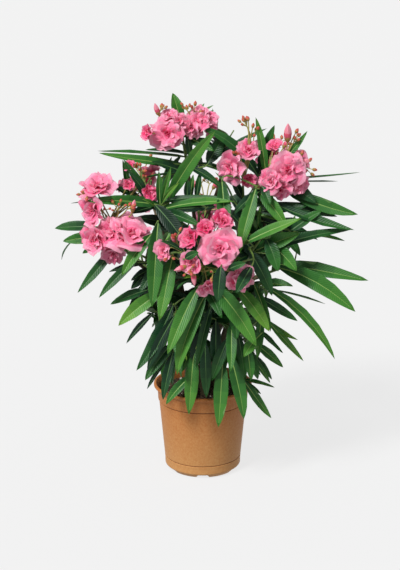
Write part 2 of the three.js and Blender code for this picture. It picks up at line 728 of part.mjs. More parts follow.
// Each mass has a seat in the middle of its leaves, and keeps the space that lies nearer to it than to any
// other seat, give or take the fringe.
for (const mass of MASSES) {
  const sum = mass.reach.reduce((total, tip) => total.add(vec(...tip)), vec(0, 0, 0));
  const outward = mass.axisUnit.clone().addScaledVector(DOWN, Math.sin(degrees(mass.droop)) * SEAT.sink);
  mass.seat = mass.reach.length
    ? vec(...mass.hub).lerp(sum.divideScalar(mass.reach.length), SEAT.reach)
    : vec(...mass.hub).addScaledVector(outward, SEAT.out);
}

function isInSpace(points, mass) {
  const others = MASSES.filter((other) => other !== mass);
  return points.every((point) => {
    const own = point.distanceToSquared(mass.seat);
    return others.every(({ seat }) => {
      return (point.distanceToSquared(seat) - own) / (2 * mass.seat.distanceTo(seat)) > -ROOM.fringe;
    });
  });
}

function crownReachAt(height) {
  let i = 1;
  while (i < CROWN.length - 1 && CROWN[i][0] < height) i++;
  const [[z0, r0], [z1, r1]] = [CROWN[i - 1], CROWN[i]];
  return mix(r0, r1, THREE.MathUtils.clamp((height - z0) / (z1 - z0), 0, 1));
}

function isInCrown(points) {
  const [x, y] = CROWN_MIDDLE;
  return points.every((point) => {
    return point.z < CROWN.at(-1)[0] && Math.hypot(point.x - x, point.y - y) < crownReachAt(point.z);
  });
}

// True where no point of a leaf comes close to another leaf of its mass.
function standsApart(points, others) {
  const limit = ROOM.apart ** 2;
  return others.every((other) => {
    return points.every((point) => other.every((q) => point.distanceToSquared(q) > limit));
  });
}

// ---- Growing the masses ----
// The shoots of a mass: its stem, and a side twig that forks from it.
function shootsOf(mass) {
  const { foot, axisUnit: axis, phase } = mass;
  const out = outFrom(axis, degrees(phase + SIDE_TWIG.turn));
  const fork = foot.clone().addScaledVector(axis, SIDE_TWIG.start * STEM.length);
  const twig = leaned(axis, out, degrees(SIDE_TWIG.lean));
  const length = STEM.length * SIDE_TWIG.share;
  return [
    { foot, axis, length: STEM.length, whorls: STEM.whorls, phase },
    { foot: fork, axis: twig, length, whorls: SIDE_TWIG.whorls, phase: phase + SIDE_TWIG.phase },
  ];
}

// Grows a leaf where it fits, as it is or a little shorter, and else leaves it out.
function growLeaf(mass, leaf) {
  for (const share of TRIES) {
    const length = leaf.length * share;
    const width = leaf.width * Math.sqrt(share);
    const corners = leafCorners({ ...leaf, length, width });
    const outer = leafSamples(corners).filter((point) => point.distanceTo(leaf.base) > ROOM.rootReach);
    const isInBounds = isInSpace(outer, mass) && isClearOfPot(outer) && (leaf.isReach || isInCrown(outer));
    if (!isInBounds || !standsApart(outer, mass.placed)) continue;
    const wide = { ...leaf, length: length + ROOM.tipClearance, width: width + 2 * ROOM.edgeClearance };
    if (!hasRoom(mass, leafSolid(leafCorners(wide, ROOM.clearance)))) continue;
    const solid = leafSolid(corners);
    stand(mass, solid);
    mass.pieces.push(solid);
    mass.placed.push(outer);
    return;
  }
}

// All stems stand first, then the leaves that carry the outline, and then the whorls of all masses in turn.
function growMasses() {
  MASSES.forEach((mass, i) => {
    const dice = new Dice(100 + i);
    mass.pieces = [];
    mass.placed = [];
    mass.leaves = [];
    for (const shoot of shootsOf(mass)) {
      const tip = shoot.foot.clone().addScaledVector(shoot.axis, shoot.length);
      const twig = stalk(shoot.foot, tip, TWIG.radius, TWIG.radius * TWIG.taper);
      if (!hasRoom(mass, twig)) continue;
      stand(mass, twig);
      mass.pieces.push(twig);
      mass.leaves.push(...whorlLeaves(dice, mass, shoot));
    }
  });
  for (const mass of MASSES) {
    mass.reach.forEach((tip, i) => {
      const share = mix(REACH.first, REACH.last, (i + 0.5) / mass.reach.length);
      growLeaf(mass, reachLeaf(mass, tip, share));
    });
  }
  const most = Math.max(...MASSES.map((mass) => mass.leaves.length));
  for (let i = 0; i < most; i++) {
    for (const mass of MASSES) if (i < mass.leaves.length) growLeaf(mass, mass.leaves[i]);
  }
}

// ---- Assembly ----
const plant = new THREE.Group();

function addNode(name, solid, color, roughness) {
  const material = new THREE.MeshStandardMaterial({ color, roughness, metalness: 0 });
  const mesh = new THREE.Mesh(geometryOf(solid), material);
  mesh.name = name;
  plant.add(mesh);
}

addNode('pot', makePot(), COLOURS.pot, 0.55);
addNode('soil', makeSoil(), COLOURS.soil, 0.95);
for (const limb of Object.values(limbs)) {
  const solid = limbSolid(limb);
  stand(limb, solid);
  addNode(limb.name, solid, COLOURS.bark, 0.8);
}
TRUSSES.forEach((truss, i) => {
  const solid = trussSolid(truss, 900 + i);
  stand(truss, solid);
  addNode('truss_' + truss.name, solid, COLOURS.bloom, 0.6);
});
growMasses();
for (const mass of MASSES) addNode('foliage_' + mass.name, fuse(mass.pieces), COLOURS.leaf, 0.5);

export default plant;
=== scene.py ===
"""A potted oleander in bloom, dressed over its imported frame.

Woody canes rise from a round nursery pot, boughs leave them, and each ends in a green stem with long leaves
in whorls of three. Trusses of double pink blooms stand on the tips. Lengths are in millimetres until a mesh
is made, +Z is up, and the front of the plant looks along -Y.
"""

import logging
import math
from collections.abc import Sequence
from dataclasses import dataclass, field, replace
from enum import Enum
from itertools import zip_longest

import bpy
import numpy as np
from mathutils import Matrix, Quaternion, Vector

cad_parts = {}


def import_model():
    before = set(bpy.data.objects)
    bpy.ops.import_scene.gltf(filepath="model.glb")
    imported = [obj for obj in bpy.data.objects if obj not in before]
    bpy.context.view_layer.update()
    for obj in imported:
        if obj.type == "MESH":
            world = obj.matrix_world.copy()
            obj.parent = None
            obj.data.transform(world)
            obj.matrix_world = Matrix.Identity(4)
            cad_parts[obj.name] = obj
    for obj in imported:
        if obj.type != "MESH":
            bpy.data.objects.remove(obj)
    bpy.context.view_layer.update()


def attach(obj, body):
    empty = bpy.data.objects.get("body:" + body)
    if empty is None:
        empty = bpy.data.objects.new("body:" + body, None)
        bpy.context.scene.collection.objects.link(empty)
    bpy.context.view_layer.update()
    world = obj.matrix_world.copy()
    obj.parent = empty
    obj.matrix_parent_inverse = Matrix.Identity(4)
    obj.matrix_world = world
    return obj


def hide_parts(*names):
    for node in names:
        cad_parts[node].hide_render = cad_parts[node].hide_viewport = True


Array = np.ndarray
LOG = logging.getLogger("oleander")
MM = 0.001
UP = np.array([0.0, 0.0, 1.0])
DOWN = -UP
TILT = math.radians(17.5)  # how far a visitor looks down at the plant
TO_EYE = np.array([0.0, -math.cos(TILT), math.sin(TILT)])
EYE_DISTANCE = 2600.0  # from the visitor to the crown's middle
CROWN_MIDDLE = np.array([-4.3, 0.0, 292.0])
SHARP_EDGE = math.radians(50)  # faces that meet more steeply than this keep a crisp edge
# What starts each run of random draws.
BLADE_SEED, PETAL_SEED, TONE_SEED, TRUSS_SEED, WHORL_SEED, TWIG_SEED = 5, 21, 77, 900, 100, 300
CRUMB_SEED, GRAIN_SEED = 11, 12
GAP = 0.3  # between solids that meet


# ---- Small tools ----
def unit(vectors: Array) -> Array:
    """Vectors at length one."""
    return vectors / np.linalg.norm(vectors, axis=-1, keepdims=True)


def mix(a: float | Array, b: float | Array, share: float | Array) -> float | Array:
    """A value between two others."""
    return a + (b - a) * share


def out_from(axis: Array, angle: float) -> Array:
    """Finds the direction at an angle round an axis, square to it.

    Args:
        axis: the axis, at length one.
        angle: the angle round it, in radians.

    Returns:
        across * cos(angle) + up * sin(angle), where across and up are square to the axis.
    """
    across = unit(np.cross(axis, UP if abs(axis[2]) < 0.9 else np.array([0.0, 1.0, 0.0])))
    return across * math.cos(angle) + np.cross(across, axis) * math.sin(angle)


def leaned(axis: Array, towards: Array, angle: float) -> Array:
    """A direction leaned from an axis towards another that is square to it."""
    return axis * math.cos(angle) + towards * math.sin(angle)


def down_from(axes: Array) -> Array:
    """The directions square to some axes that go down most steeply."""
    return unit(DOWN + axes * axes[..., 2:3])


def seen(points: Array) -> Array:
    """Finds where points show from the front, as a visitor stands.

    Args:
        points: (..., 3).

    Returns:
        (..., 2) millimetres right of and above the crown's middle, in the plane through it.
    """
    x, y, z = np.moveaxis(points - CROWN_MIDDLE, -1, 0)
    near = EYE_DISTANCE / (EYE_DISTANCE + y * math.cos(TILT) - z * math.sin(TILT))
    return np.stack([x * near, (y * math.sin(TILT) + z * math.cos(TILT)) * near], axis=-1)


def aimed(way: Sequence[float]) -> Array:
    """A direction, given by its numbers, at length one."""
    return unit(np.array(way, float))


def ring_angles(count: int) -> Array:
    """Even angles round a ring, in radians."""
    return 2 * math.pi * np.arange(count) / count


def round_z(radius: Array | float, angle: Array | float, height: Array | float) -> Array:
    """Points at a radius and an angle round Z, and at a height."""
    return np.stack(np.broadcast_arrays(radius * np.cos(angle), radius * np.sin(angle), height), axis=-1)


def step_lengths(line: Array) -> Array:
    """How far each point of a line stands from the next."""
    return np.linalg.norm(np.diff(line, axis=0), axis=1)


def gathered(items: Sequence[object], name: str, axes: int = 0) -> Array:
    """Gathers one field of many items.

    Args:
        items: the items.
        name: the field's name.
        axes: how many axes of length one follow the first.

    Returns:
        One row for each item.
    """
    values = np.array([getattr(item, name) for item in items])
    return values.reshape(values.shape[:1] + (1,) * axes + values.shape[1:])


def turned_about(vector: Array, axis: Array, angle: float) -> Array:
    """Turns a vector about an axis.

    Args:
        vector: the vector to turn.
        axis: the axis, at length one.
        angle: the angle, in radians.

    Returns:
        The turned vector, by Rodrigues' rotation formula.
    """
    across = np.cross(axis, vector)
    along = axis * (axis @ vector) * (1 - math.cos(angle))
    return vector * math.cos(angle) + across * math.sin(angle) + along


class Dice:
    """A seeded source of numbers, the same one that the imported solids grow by."""

    def __init__(self, seed: int) -> None:
        """Starts from a seed."""
        self.state = seed

    def next(self) -> float:
        """The next number from 0 to 1."""
        self.state = (self.state * 1664525 + 1013904223) % 2**32
        return self.state / 2**32

    def between(self, low: float, high: float) -> float:
        """The next number between two others."""
        return mix(low, high, self.next())


def ripple(points: Array, size: float, seed: float) -> Array:
    """Gives a soft uneven relief at points in space.

    Args:
        points: places in millimetres, (..., 3).
        size: about how far apart its lumps stand, in millimetres.
        seed: shifts the pattern.

    Returns:
        Values from -1 to 1: the mean of five sine waves that run in different directions through space.
    """
    angles = seed + np.arange(5) * 2.4
    ways = np.stack([np.cos(angles), np.sin(angles * 1.7), np.sin(angles * 2.3 + 1)], axis=-1)
    phases = (points @ ways.T) * (2 * math.pi / size) * (1 + 0.23 * np.arange(5)) + seed * np.arange(1, 6)
    return np.sin(phases).mean(axis=-1)


# ---- Finishes ----
def linear(colour: str) -> tuple[float, float, float, float]:
    """Turns a colour into the values that a shader takes.

    Args:
        colour: an sRGB colour as #rrggbb.

    Returns:
        Linear red, green, blue, and 1.
    """
    parts = [int(colour[i : i + 2], 16) / 255 for i in (1, 3, 5)]
    return (*(c / 12.92 if c <= 0.04045 else ((c + 0.055) / 1.055) ** 2.4 for c in parts), 1.0)


def between_colours(colours: Sequence[str], place: float) -> str:
    """Finds the colour at a place in a row of colours.

    Args:
        colours: sRGB colours as #rrggbb.
        place: 0 for the first, 1 for the second, and so on.

    Returns:
        The colour as #rrggbb.
    """
    first = min(int(place), len(colours) - 2)
    pair = [[int(colour[i : i + 2], 16) for i in (1, 3, 5)] for colour in colours[first : first + 2]]
    return "#" + "".join(f"{round(mix(a, b, place - first)):02x}" for a, b in zip(*pair))


def add_node(tree: bpy.types.NodeTree, kind: str, values: dict | None = None, links: dict | None = None,
             **settings: object) -> bpy.types.Node:
    """Adds a node with its settings and links.

    Args:
        tree: the node tree.
        kind: the node's type, without the word ShaderNode.
        values: what its unlinked inputs hold, by name or number.
        links: the sockets that feed its inputs, by name or number.
        settings: the node's own properties.

    Returns:
        The new node.
    """
    node = tree.nodes.new("ShaderNode" + kind)
    for name, value in settings.items():
        setattr(node, name, value)
    for name, value in (values or {}).items():
        node.inputs[name].default_value = value
    for name, socket in (links or {}).items():
        tree.links.new(socket, node.inputs[name])
    return node


LIGHT_DEPTH = 0.003  # how far light goes into a petal, in metres
LIGHT_SPREAD = (1.0, 0.85, 0.9)  # and how far its red, green and blue, against that


@dataclass(frozen=True)
class Finish:
    """What a surface is made of: its common name, its colour in sRGB hex, and how it shines."""

    name: str
    colour: str
    roughness: float = 0.5
    ior: float = 1.45
    subsurface: float = 0.0
    gloss: float = 0.5

    def material(self) -> bpy.types.Material:
        """Makes the material.

        Returns:
            A material with one Principled shader, dressed by this finish.
        """
        material = bpy.data.materials.new(self.name)
        material.use_nodes = True
        tree = material.node_tree
        shader = tree.nodes["Principled BSDF"]
        values = {"Base Color": linear(self.colour), "Roughness": self.roughness, "IOR": self.ior,
                  "Specular IOR Level": self.gloss}
        if self.subsurface:
            values |= {"Subsurface Weight": self.subsurface, "Subsurface Scale": LIGHT_DEPTH,
                       "Subsurface Radius": LIGHT_SPREAD}
        for name, value in values.items():
            shader.inputs[name].default_value = value
        self.dress(tree, shader)
        return material

    def dress(self, tree: bpy.types.NodeTree, shader: bpy.types.Node) -> None:
        """A plain finish adds nothing."""

    def emboss(self, tree: bpy.types.NodeTree, shader: bpy.types.Node, height: bpy.types.NodeSocket,
               depth: float) -> None:
        """Links a relief into the shader.

        Args:
            tree: the material's node tree.
            shader: its shader.
            height: the relief, from 0 to 1.
            depth: how deep it is, in millimetres.
        """
        bump = add_node(tree, "Bump", {"Strength": 1.0, "Distance": depth * MM}, {"Height": height})
        tree.links.new(bump.outputs["Normal"], shader.inputs["Normal"])


@dataclass(frozen=True)
class VeinedFinish(Finish):
    """A blade or petal with side veins that lean towards its tip, ribbing it finely."""

    spacing: float = 4.2  # of the veins along the blade, in mm: coarser than life, to show at all
    slant: float = 1.1  # how far a vein runs up the blade on its way to the margin, in spacings per mm
    depth: float = 0.1

    def dress(self, tree: bpy.types.NodeTree, shader: bpy.types.Node) -> None:
        """Adds the veins, as the sine of (place along - slant * distance from the middle) / spacing.

        Args:
            tree: the material's node tree.
            shader: its shader.
        """
        place = add_node(tree, "UVMap", uv_map="blade")
        parts = add_node(tree, "SeparateXYZ", links={0: place.outputs["UV"]})
        away = add_node(tree, "Math", links={0: parts.outputs["X"]}, operation="ABSOLUTE")
        shift = add_node(tree, "Math", {1: -self.slant}, {0: away.outputs[0]}, operation="MULTIPLY")
        along = add_node(tree, "Math", None, {0: parts.outputs["Y"], 1: shift.outputs[0]})
        phase = add_node(tree, "Math", {1: 2 * math.pi / self.spacing}, {0: along.outputs[0]},
                         operation="MULTIPLY")
        wave = add_node(tree, "Math", links={0: phase.outputs[0]}, operation="SINE")
        self.emboss(tree, shader, wave.outputs[0], self.depth)


class Grain(Enum):
    """How a mottled finish's pattern lies: even all round, or drawn out upwards."""

    EVEN = (1.0, 1.0, 1.0)
    UPRIGHT = (1.0, 1.0, 0.22)


@dataclass(frozen=True)
class MottledFinish(Finish):
    """A finish whose colour drifts between two others in patches, over a fine relief."""

    second: str = "#000000"
    patch: float = 20.0  # the size of the patches, in mm
    share: float = 0.5  # how much of the surface the second colour takes
    climb: float = 0.0  # how much more of it there is for each metre up
    blend: float = 0.13  # how softly one passes into the other
    pit: float = 1.0  # the size of the relief, in mm
    depth: float = 0.1
    grain: Grain = Grain.EVEN

    def dress(self, tree: bpy.types.NodeTree, shader: bpy.types.Node) -> None:
        """Adds the patches and the relief, both noise on Object coordinates.

        Args:
            tree: the material's node tree.
            shader: its shader.
        """
        place = add_node(tree, "TexCoord")
        lay = add_node(tree, "Mapping", {"Scale": self.grain.value}, {0: place.outputs["Object"]})
        patches = add_node(tree, "TexNoise", {"Scale": 1 / (self.patch * MM), "Detail": 5.0,
                           "Roughness": 0.65}, {"Vector": lay.outputs[0]})
        middle = 1 - self.share
        height = add_node(tree, "SeparateXYZ", links={0: place.outputs["Object"]})
        level = add_node(tree, "Math", {1: self.climb}, {0: height.outputs["Z"], 2: patches.outputs[0]},
                         operation="MULTIPLY_ADD")
        share = add_node(tree, "MapRange", {"From Min": middle - self.blend, "From Max": middle + self.blend},
                         {"Value": level.outputs[0]})
        colour = add_node(tree, "Mix", {6: linear(self.colour), 7: linear(self.second)},
                          {0: share.outputs[0]}, data_type="RGBA")
        tree.links.new(colour.outputs[2], shader.inputs["Base Color"])
        relief = add_node(tree, "TexNoise", {"Scale": 1 / (self.pit * MM), "Detail": 3.0},
                          {"Vector": lay.outputs[0]})
        self.emboss(tree, shader, relief.outputs[0], self.depth)


# Living leaves, leathery and waxed: a soft gloss over green. From sunlit to deep shade inside the crown.
LEAF_SHADES = ("#6f9a34", "#52892f", "#3e792a", "#2d6625", "#1f5020", "#103a1e", "#082a17")
LEAF_STEPS = 2  # finishes to a shade, so that one passes softly into the next along a blade
# Painted light and shade: one finish for each step from sunlit to deep shade.
LEAF_BLADES = tuple(
    VeinedFinish(f"waxed oleander leaf {i + 1}", between_colours(LEAF_SHADES, i / LEAF_STEPS), 0.42, 1.45,
                 gloss=0.32)
    for i in range((len(LEAF_SHADES) - 1) * LEAF_STEPS + 1)
)
LEAF_RIB = Finish("pale midrib of a leaf", "#7ea04e", 0.45)
# Painted shade: a darker copy of the midrib, for leaves deep in the crown.
LEAF_RIB_PAINTED_SHADE = Finish("shaded midrib of a leaf", "#48703a", 0.45)
LEAF_BACK = Finish("matt underside of a leaf", "#5a8344", 0.6)
# Painted shade: a darker copy of the underside, for leaves deep in the crown.
LEAF_BACK_PAINTED_SHADE = Finish("shaded underside of a leaf", "#2f5530", 0.6)
# Petals, thin and moist: matt, with light going a little way through them. From the throat to the margin.
PETALS = tuple(
    VeinedFinish(f"soft oleander petal {name}", colour, 0.6, 1.35, 0.35, 0.15, spacing=4.0, slant=2.0,
                 depth=0.1)
    for name, colour in (
        ("throat", "#cf2052"), ("deep", "#e23f70"), ("middle", "#ee668e"), ("pale", "#f585a6"),
        ("margin", "#f9a0ba"),
    )
)
BUD_PETAL = Finish("closed bud in coral pink", "#d8566f", 0.5, 1.4, 0.15)
BUD_TIP = Finish("rosy tip of a bud", "#e38a9b", 0.5, 1.4, 0.15)
BUD_YOUNG = Finish("young bud, ochre brown", "#b0823f", 0.5)
BUD_YOUNG_TIP = Finish("reddening tip of a young bud", "#bf5348", 0.5)
CALYX = Finish("ochre green calyx", "#9c8443", 0.55)
GREEN_WOOD = Finish("green young stem", "#64803a", 0.5)
PEDICEL = Finish("thin ochre green flower stalk", "#a29a55", 0.5)
# Grown bark: grey brown, matt, with paler flecks drawn out along the wood.
BARK = MottledFinish("thin oleander bark", "#6d6146", 0.8, second="#4b3e2c", patch=9, pit=2.2, depth=0.5,
                     grain=Grain.UPRIGHT)
# Injection-moulded polypropylene in a clay colour: a low even sheen, faintly mottled, with a fine relief, and
# darker towards the rim.
PLASTIC = MottledFinish("moulded clay coloured plastic", "#cb985f", 0.5, 1.49, gloss=0.14, second="#ae652f",
                        patch=3, share=0.26, climb=3.6, blend=0.4, pit=1.2, depth=0.1)
# Painted shade: a darker finish in the pot's fine moulded grooves.
GROOVE_PAINTED_SHADE = Finish("painted shade in the pot's moulded lines", "#7a4522", 0.8)
# Peat compost, damp and crumbly: nearly black, with no shine.
PEAT = MottledFinish("damp peat compost", "#2b231c", 0.95, second="#463627", patch=7, share=0.42, pit=1.6,
                     depth=0.9)
CRUMB = MottledFinish("peat crumb", "#3a2d22", 0.95, second="#57422f", patch=5, pit=1.0, depth=0.4)
# Perlite, puffed volcanic glass: dull white grains.
PERLITE = MottledFinish("puffed perlite", "#dcd8cc", 0.85, second="#b9b2a2", patch=3, pit=0.8, depth=0.3)
FLOOR = Finish("matt studio paper", "#5c5c5c", 0.9)


# ---- Meshes ----
def grid_faces(rows: int, columns: int, wraps: bool) -> Array:
    """Lists the faces of a grid of points.

    Args:
        rows: how many rows of points.
        columns: how many points in a row.
        wraps: whether the last point of a row joins its first.

    Returns:
        Quads as (faces, 4) indices, which face the way that column step x row step points.
    """
    i, k = np.meshgrid(np.arange(rows - 1), np.arange(columns if wraps else columns - 1), indexing="ij")
    after = (k + 1) % columns
    quads = np.stack([i * columns + k, i * columns + after, (i + 1) * columns + after, (i + 1) * columns + k])
    return quads.reshape(4, -1).T


def capped_faces(rows: int, columns: int) -> Array:
    """Lists the faces of a tube whose two ends each close on a point.

    Args:
        rows: how many rings of points.
        columns: how many points in a ring.

    Returns:
        (faces, 4) indices, with -1 last in a triangle. After the rings come the first and last end points.
    """
    k = np.arange(columns)
    after = (k + 1) % columns
    last = (rows - 1) * columns
    none = np.full(columns, -1)
    start = np.stack([np.full(columns, rows * columns), after, k, none], axis=1)
    end = np.stack([np.full(columns, rows * columns + 1), last + k, last + after, none], axis=1)
    return np.concatenate([grid_faces(rows, columns, True), start, end])


def pillow_faces(rows: int, columns: int) -> Array:
    """Lists the faces of a thin closed sheet whose two sides share their rim.

    Args:
        rows: rows of points on the upper side.
        columns: points in a row.

    Returns:
        Quads as (faces, 4) indices: all of the upper side, then all of the under side, whose inner points
        come after the upper side's points.
    """
    upper = np.arange(rows * columns).reshape(rows, columns)
    under = upper.copy()
    under[1:-1, 1:-1] = rows * columns + np.arange((rows - 2) * (columns - 2)).reshape(rows - 2, columns - 2)
    quads = grid_faces(rows, columns, False)
    return np.concatenate([quads[:, ::-1], under.reshape(-1)[quads]])


class Piece:
    """One mesh that gathers surfaces in millimetres."""

    def __init__(self, name: str) -> None:
        """Starts an empty piece."""
        self.name = name
        self.points: list[Array] = []
        self.faces: list[Array] = []
        self.tones: list[Array] = []
        self.places: list[Array] = []
        self.count = 0

    def add(self, points: Array, faces: Array, tones: Array | int = 0, places: Array | None = None) -> None:
        """Adds one surface, or many of the same make.

        Args:
            points: (points, 3), or (copies, points, 3).
            faces: the faces of one copy, (faces, 4), with -1 last in a triangle.
            tones: which finish each face takes: one number, or (faces,), or (copies, faces).
            places: where each point is on its blade, in millimetres, as points but with 2 in place of 3.
        """
        copies = 1 if points.ndim == 2 else len(points)
        each = points.shape[-2]
        shift = (self.count + each * np.arange(copies))[:, None, None]
        self.faces.append(np.where(faces < 0, -1, faces + shift).reshape(-1, 4))
        self.tones.append(np.broadcast_to(tones, (copies, len(faces))).reshape(-1))
        self.points.append(points.reshape(-1, 3))
        self.places.append((np.zeros((copies * each, 2)) if places is None else places).reshape(-1, 2))
        self.count += copies * each

    def finish(self, finishes: Sequence[Finish], slot: str, nodes: Sequence[str]) -> bpy.types.Object:
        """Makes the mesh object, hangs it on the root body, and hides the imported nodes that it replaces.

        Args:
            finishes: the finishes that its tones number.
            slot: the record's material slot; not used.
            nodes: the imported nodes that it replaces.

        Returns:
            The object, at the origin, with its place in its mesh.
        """
        points = np.concatenate(self.points) * MM
        faces = np.concatenate(self.faces)
        corners = faces.reshape(-1)
        corners = corners[corners >= 0]
        totals = np.where(faces[:, 3] < 0, 3, 4)
        mesh = bpy.data.meshes.new(self.name)
        mesh.vertices.add(len(points))
        mesh.vertices.foreach_set("co", points.reshape(-1).astype(np.float32))
        mesh.loops.add(len(corners))
        mesh.loops.foreach_set("vertex_index", corners.astype(np.int32))
        mesh.polygons.add(len(faces))
        mesh.polygons.foreach_set("loop_start", (np.cumsum(totals) - totals).astype(np.int32))
        for item in finishes:
            mesh.materials.append(bpy.data.materials.get(item.name) or item.material())
        mesh.polygons.foreach_set("material_index", np.concatenate(self.tones).astype(np.int32))
        layer = mesh.uv_layers.new(name="blade")
        layer.data.foreach_set("uv", np.concatenate(self.places)[corners].reshape(-1).astype(np.float32))
        mesh.update(calc_edges=True)
        mesh.validate()
        mesh.shade_smooth()
        mesh.set_sharp_from_angle(angle=SHARP_EDGE)
        item = bpy.data.objects.new(self.name, mesh)
        bpy.context.scene.collection.objects.link(item)
        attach(item, "root")
        if nodes:
            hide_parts(*nodes)
        triangles = int((totals - 2).sum())
        LOG.info("%s: %d faces, %d triangles", self.name, len(faces), triangles)
        return item


def curve_points(start: Array, leaving: Array, arriving: Array, end: Array, count: int) -> Array:
    """Follows a cubic Bezier curve.

    Args:
        start: its first point.
        leaving: its first handle.
        arriving: its second handle.
        end: its last point.
        count: how many points.

    Returns:
        start (1-t)^3 + 3 leaving (1-t)^2 t + 3 arriving (1-t) t^2 + end t^3, for t in even steps from 0 to 1.
    """
    t = np.linspace(0, 1, count)[:, None]
    return start * (1 - t) ** 3 + 3 * leaving * (1 - t) ** 2 * t + 3 * arriving * (1 - t) * t**2 + end * t**3


def evened(points: Array, shares: Sequence[float] | Array) -> Array:
    """Finds points at even shares of a line's length.

    Args:
        points: the line's own points, (points, 3).
        shares: the shares of its length wanted.

    Returns:
        One point for each share.
    """
    run = np.concatenate([[0.0], np.cumsum(step_lengths(points))])
    return np.stack([np.interp(np.asarray(shares) * run[-1], run, row) for row in points.T], axis=1)


def tube_rings(line: Array, radii: Array, sides: int) -> tuple[Array, Array, Array]:
    """Carries a round profile along a line.

    Args:
        line: the line's points, (rings, 3).
        radii: the radius at each ring, or (rings, sides).
        sides: how many points in a ring.

    Returns:
        The rings, centre + radius * (normal cos a + binormal sin a), as (rings, sides, 3), with the outward
        ways and the angles a.
    """
    ahead = unit(np.gradient(line, axis=0))
    across = np.cross(ahead[0], ahead[-1])
    if np.linalg.norm(across) < 0.05:  # nearly straight
        across = np.cross(ahead[0], UP if abs(ahead[0][2]) < 0.9 else np.array([1.0, 0.0, 0.0]))
    normal = unit(across - ahead * (ahead @ across)[:, None])
    binormal = np.cross(ahead, normal)
    angles = ring_angles(sides)
    ways = normal[:, None] * np.cos(angles)[:, None] + binormal[:, None] * np.sin(angles)[:, None]
    radii = np.broadcast_to(np.asarray(radii).reshape(len(line), -1), (len(line), sides))
    return line[:, None] + ways * radii[..., None], ways, angles


def add_rings(piece: Piece, rings: Array, ends: Array, tones: Array | int = 0) -> None:
    """Adds a closed surface through rings of points to a piece.

    Args:
        piece: the piece that takes it.
        rings: (rings, sides, 3).
        ends: the two points that close it, (2, 3).
        tones: which finish its faces take.
    """
    piece.add(np.concatenate([rings.reshape(-1, 3), ends]), capped_faces(*rings.shape[:2]), tones)


def add_tube(piece: Piece, line: Array, radii: Array, sides: int, tone: int = 0) -> None:
    """Adds a closed tube along a line to a piece.

    Args:
        piece: the piece that takes it.
        line: the line's points, (rings, 3).
        radii: the radius at each ring.
        sides: how many sides.
        tone: which finish it takes.
    """
    add_rings(piece, tube_rings(line, radii, sides)[0], line[[0, -1]], tone)


def add_lathe(piece: Piece, profile: Array, segments: int, lift: Array,
              is_second: Array | None = None) -> None:
    """Adds a solid of revolution round Z to a piece: (radius cos a, radius sin a, height + lift).

    Args:
        piece: the piece that takes it.
        profile: (rows, 2) radius and height, from the axis below, outside, back to the axis above.
        segments: how many segments round.
        lift: how far each point but the ends is raised, (rows, segments).
        is_second: whether each band between two rows takes the second finish, or None.
    """
    rows = profile[1:-1]
    rings = round_z(rows[:, :1], ring_angles(segments), rows[:, 1:]) + lift[..., None] * UP
    tones = np.zeros((len(rows) + 1) * segments, int)
    if is_second is not None:
        tones[: (len(rows) - 1) * segments] = np.repeat(is_second, segments)
    add_rings(piece, rings, profile[[0, -1], 1:] * UP, tones)


def rounded(profile: Array, radius: float, steps: int) -> Array:
    """Rounds the corners of a profile.

    Args:
        profile: (corners, 2), whose ends stay as they are.
        radius: how far from a corner its rounding starts, at most a third of an edge.
        steps: points on each rounding.

    Returns:
        The profile with each inner corner drawn as a quadratic Bezier curve of its own.
    """
    before, corner, after = profile[:-2], profile[1:-1], profile[2:]
    back, on = before - corner, after - corner
    reach_back = np.minimum(radius, np.linalg.norm(back, axis=1) * 0.34)[:, None]
    reach_on = np.minimum(radius, np.linalg.norm(on, axis=1) * 0.34)[:, None]
    start = (corner + unit(back) * reach_back)[:, None]
    end = (corner + unit(on) * reach_on)[:, None]
    t = np.linspace(0, 1, steps)[None, :, None]
    bends = start * (1 - t) ** 2 + 2 * corner[:, None] * (1 - t) * t + end * t**2
    return np.concatenate([profile[:1], bends.reshape(-1, 2), profile[-1:]])


def icosahedron() -> tuple[Array, Array]:
    """Draws a solid of twenty triangles.

    Returns:
        Its corners (0, ±1, ±golden) and their turns at length one, and its faces with -1 last.
    """
    g = (1 + math.sqrt(5)) / 2
    corners = unit(np.array([
        (0, 1, g), (0, -1, g), (0, 1, -g), (0, -1, -g), (1, g, 0), (-1, g, 0), (1, -g, 0), (-1, -g, 0),
        (g, 0, 1), (-g, 0, 1), (g, 0, -1), (-g, 0, -1),
    ]))
    near = (corners @ corners.T > 0.4) & ~np.eye(12, dtype=bool)
    i, j, k = np.nonzero(near[:, :, None] & near[None] & near[:, None])
    outward = np.cross(corners[j] - corners[i], corners[k] - corners[i])
    keep = (i < j) & (i < k) & (np.einsum("ij,ij->i", outward, corners[i]) > 0)
    return corners, np.stack([i, j, k, np.full(len(i), -1)], axis=1)[keep]


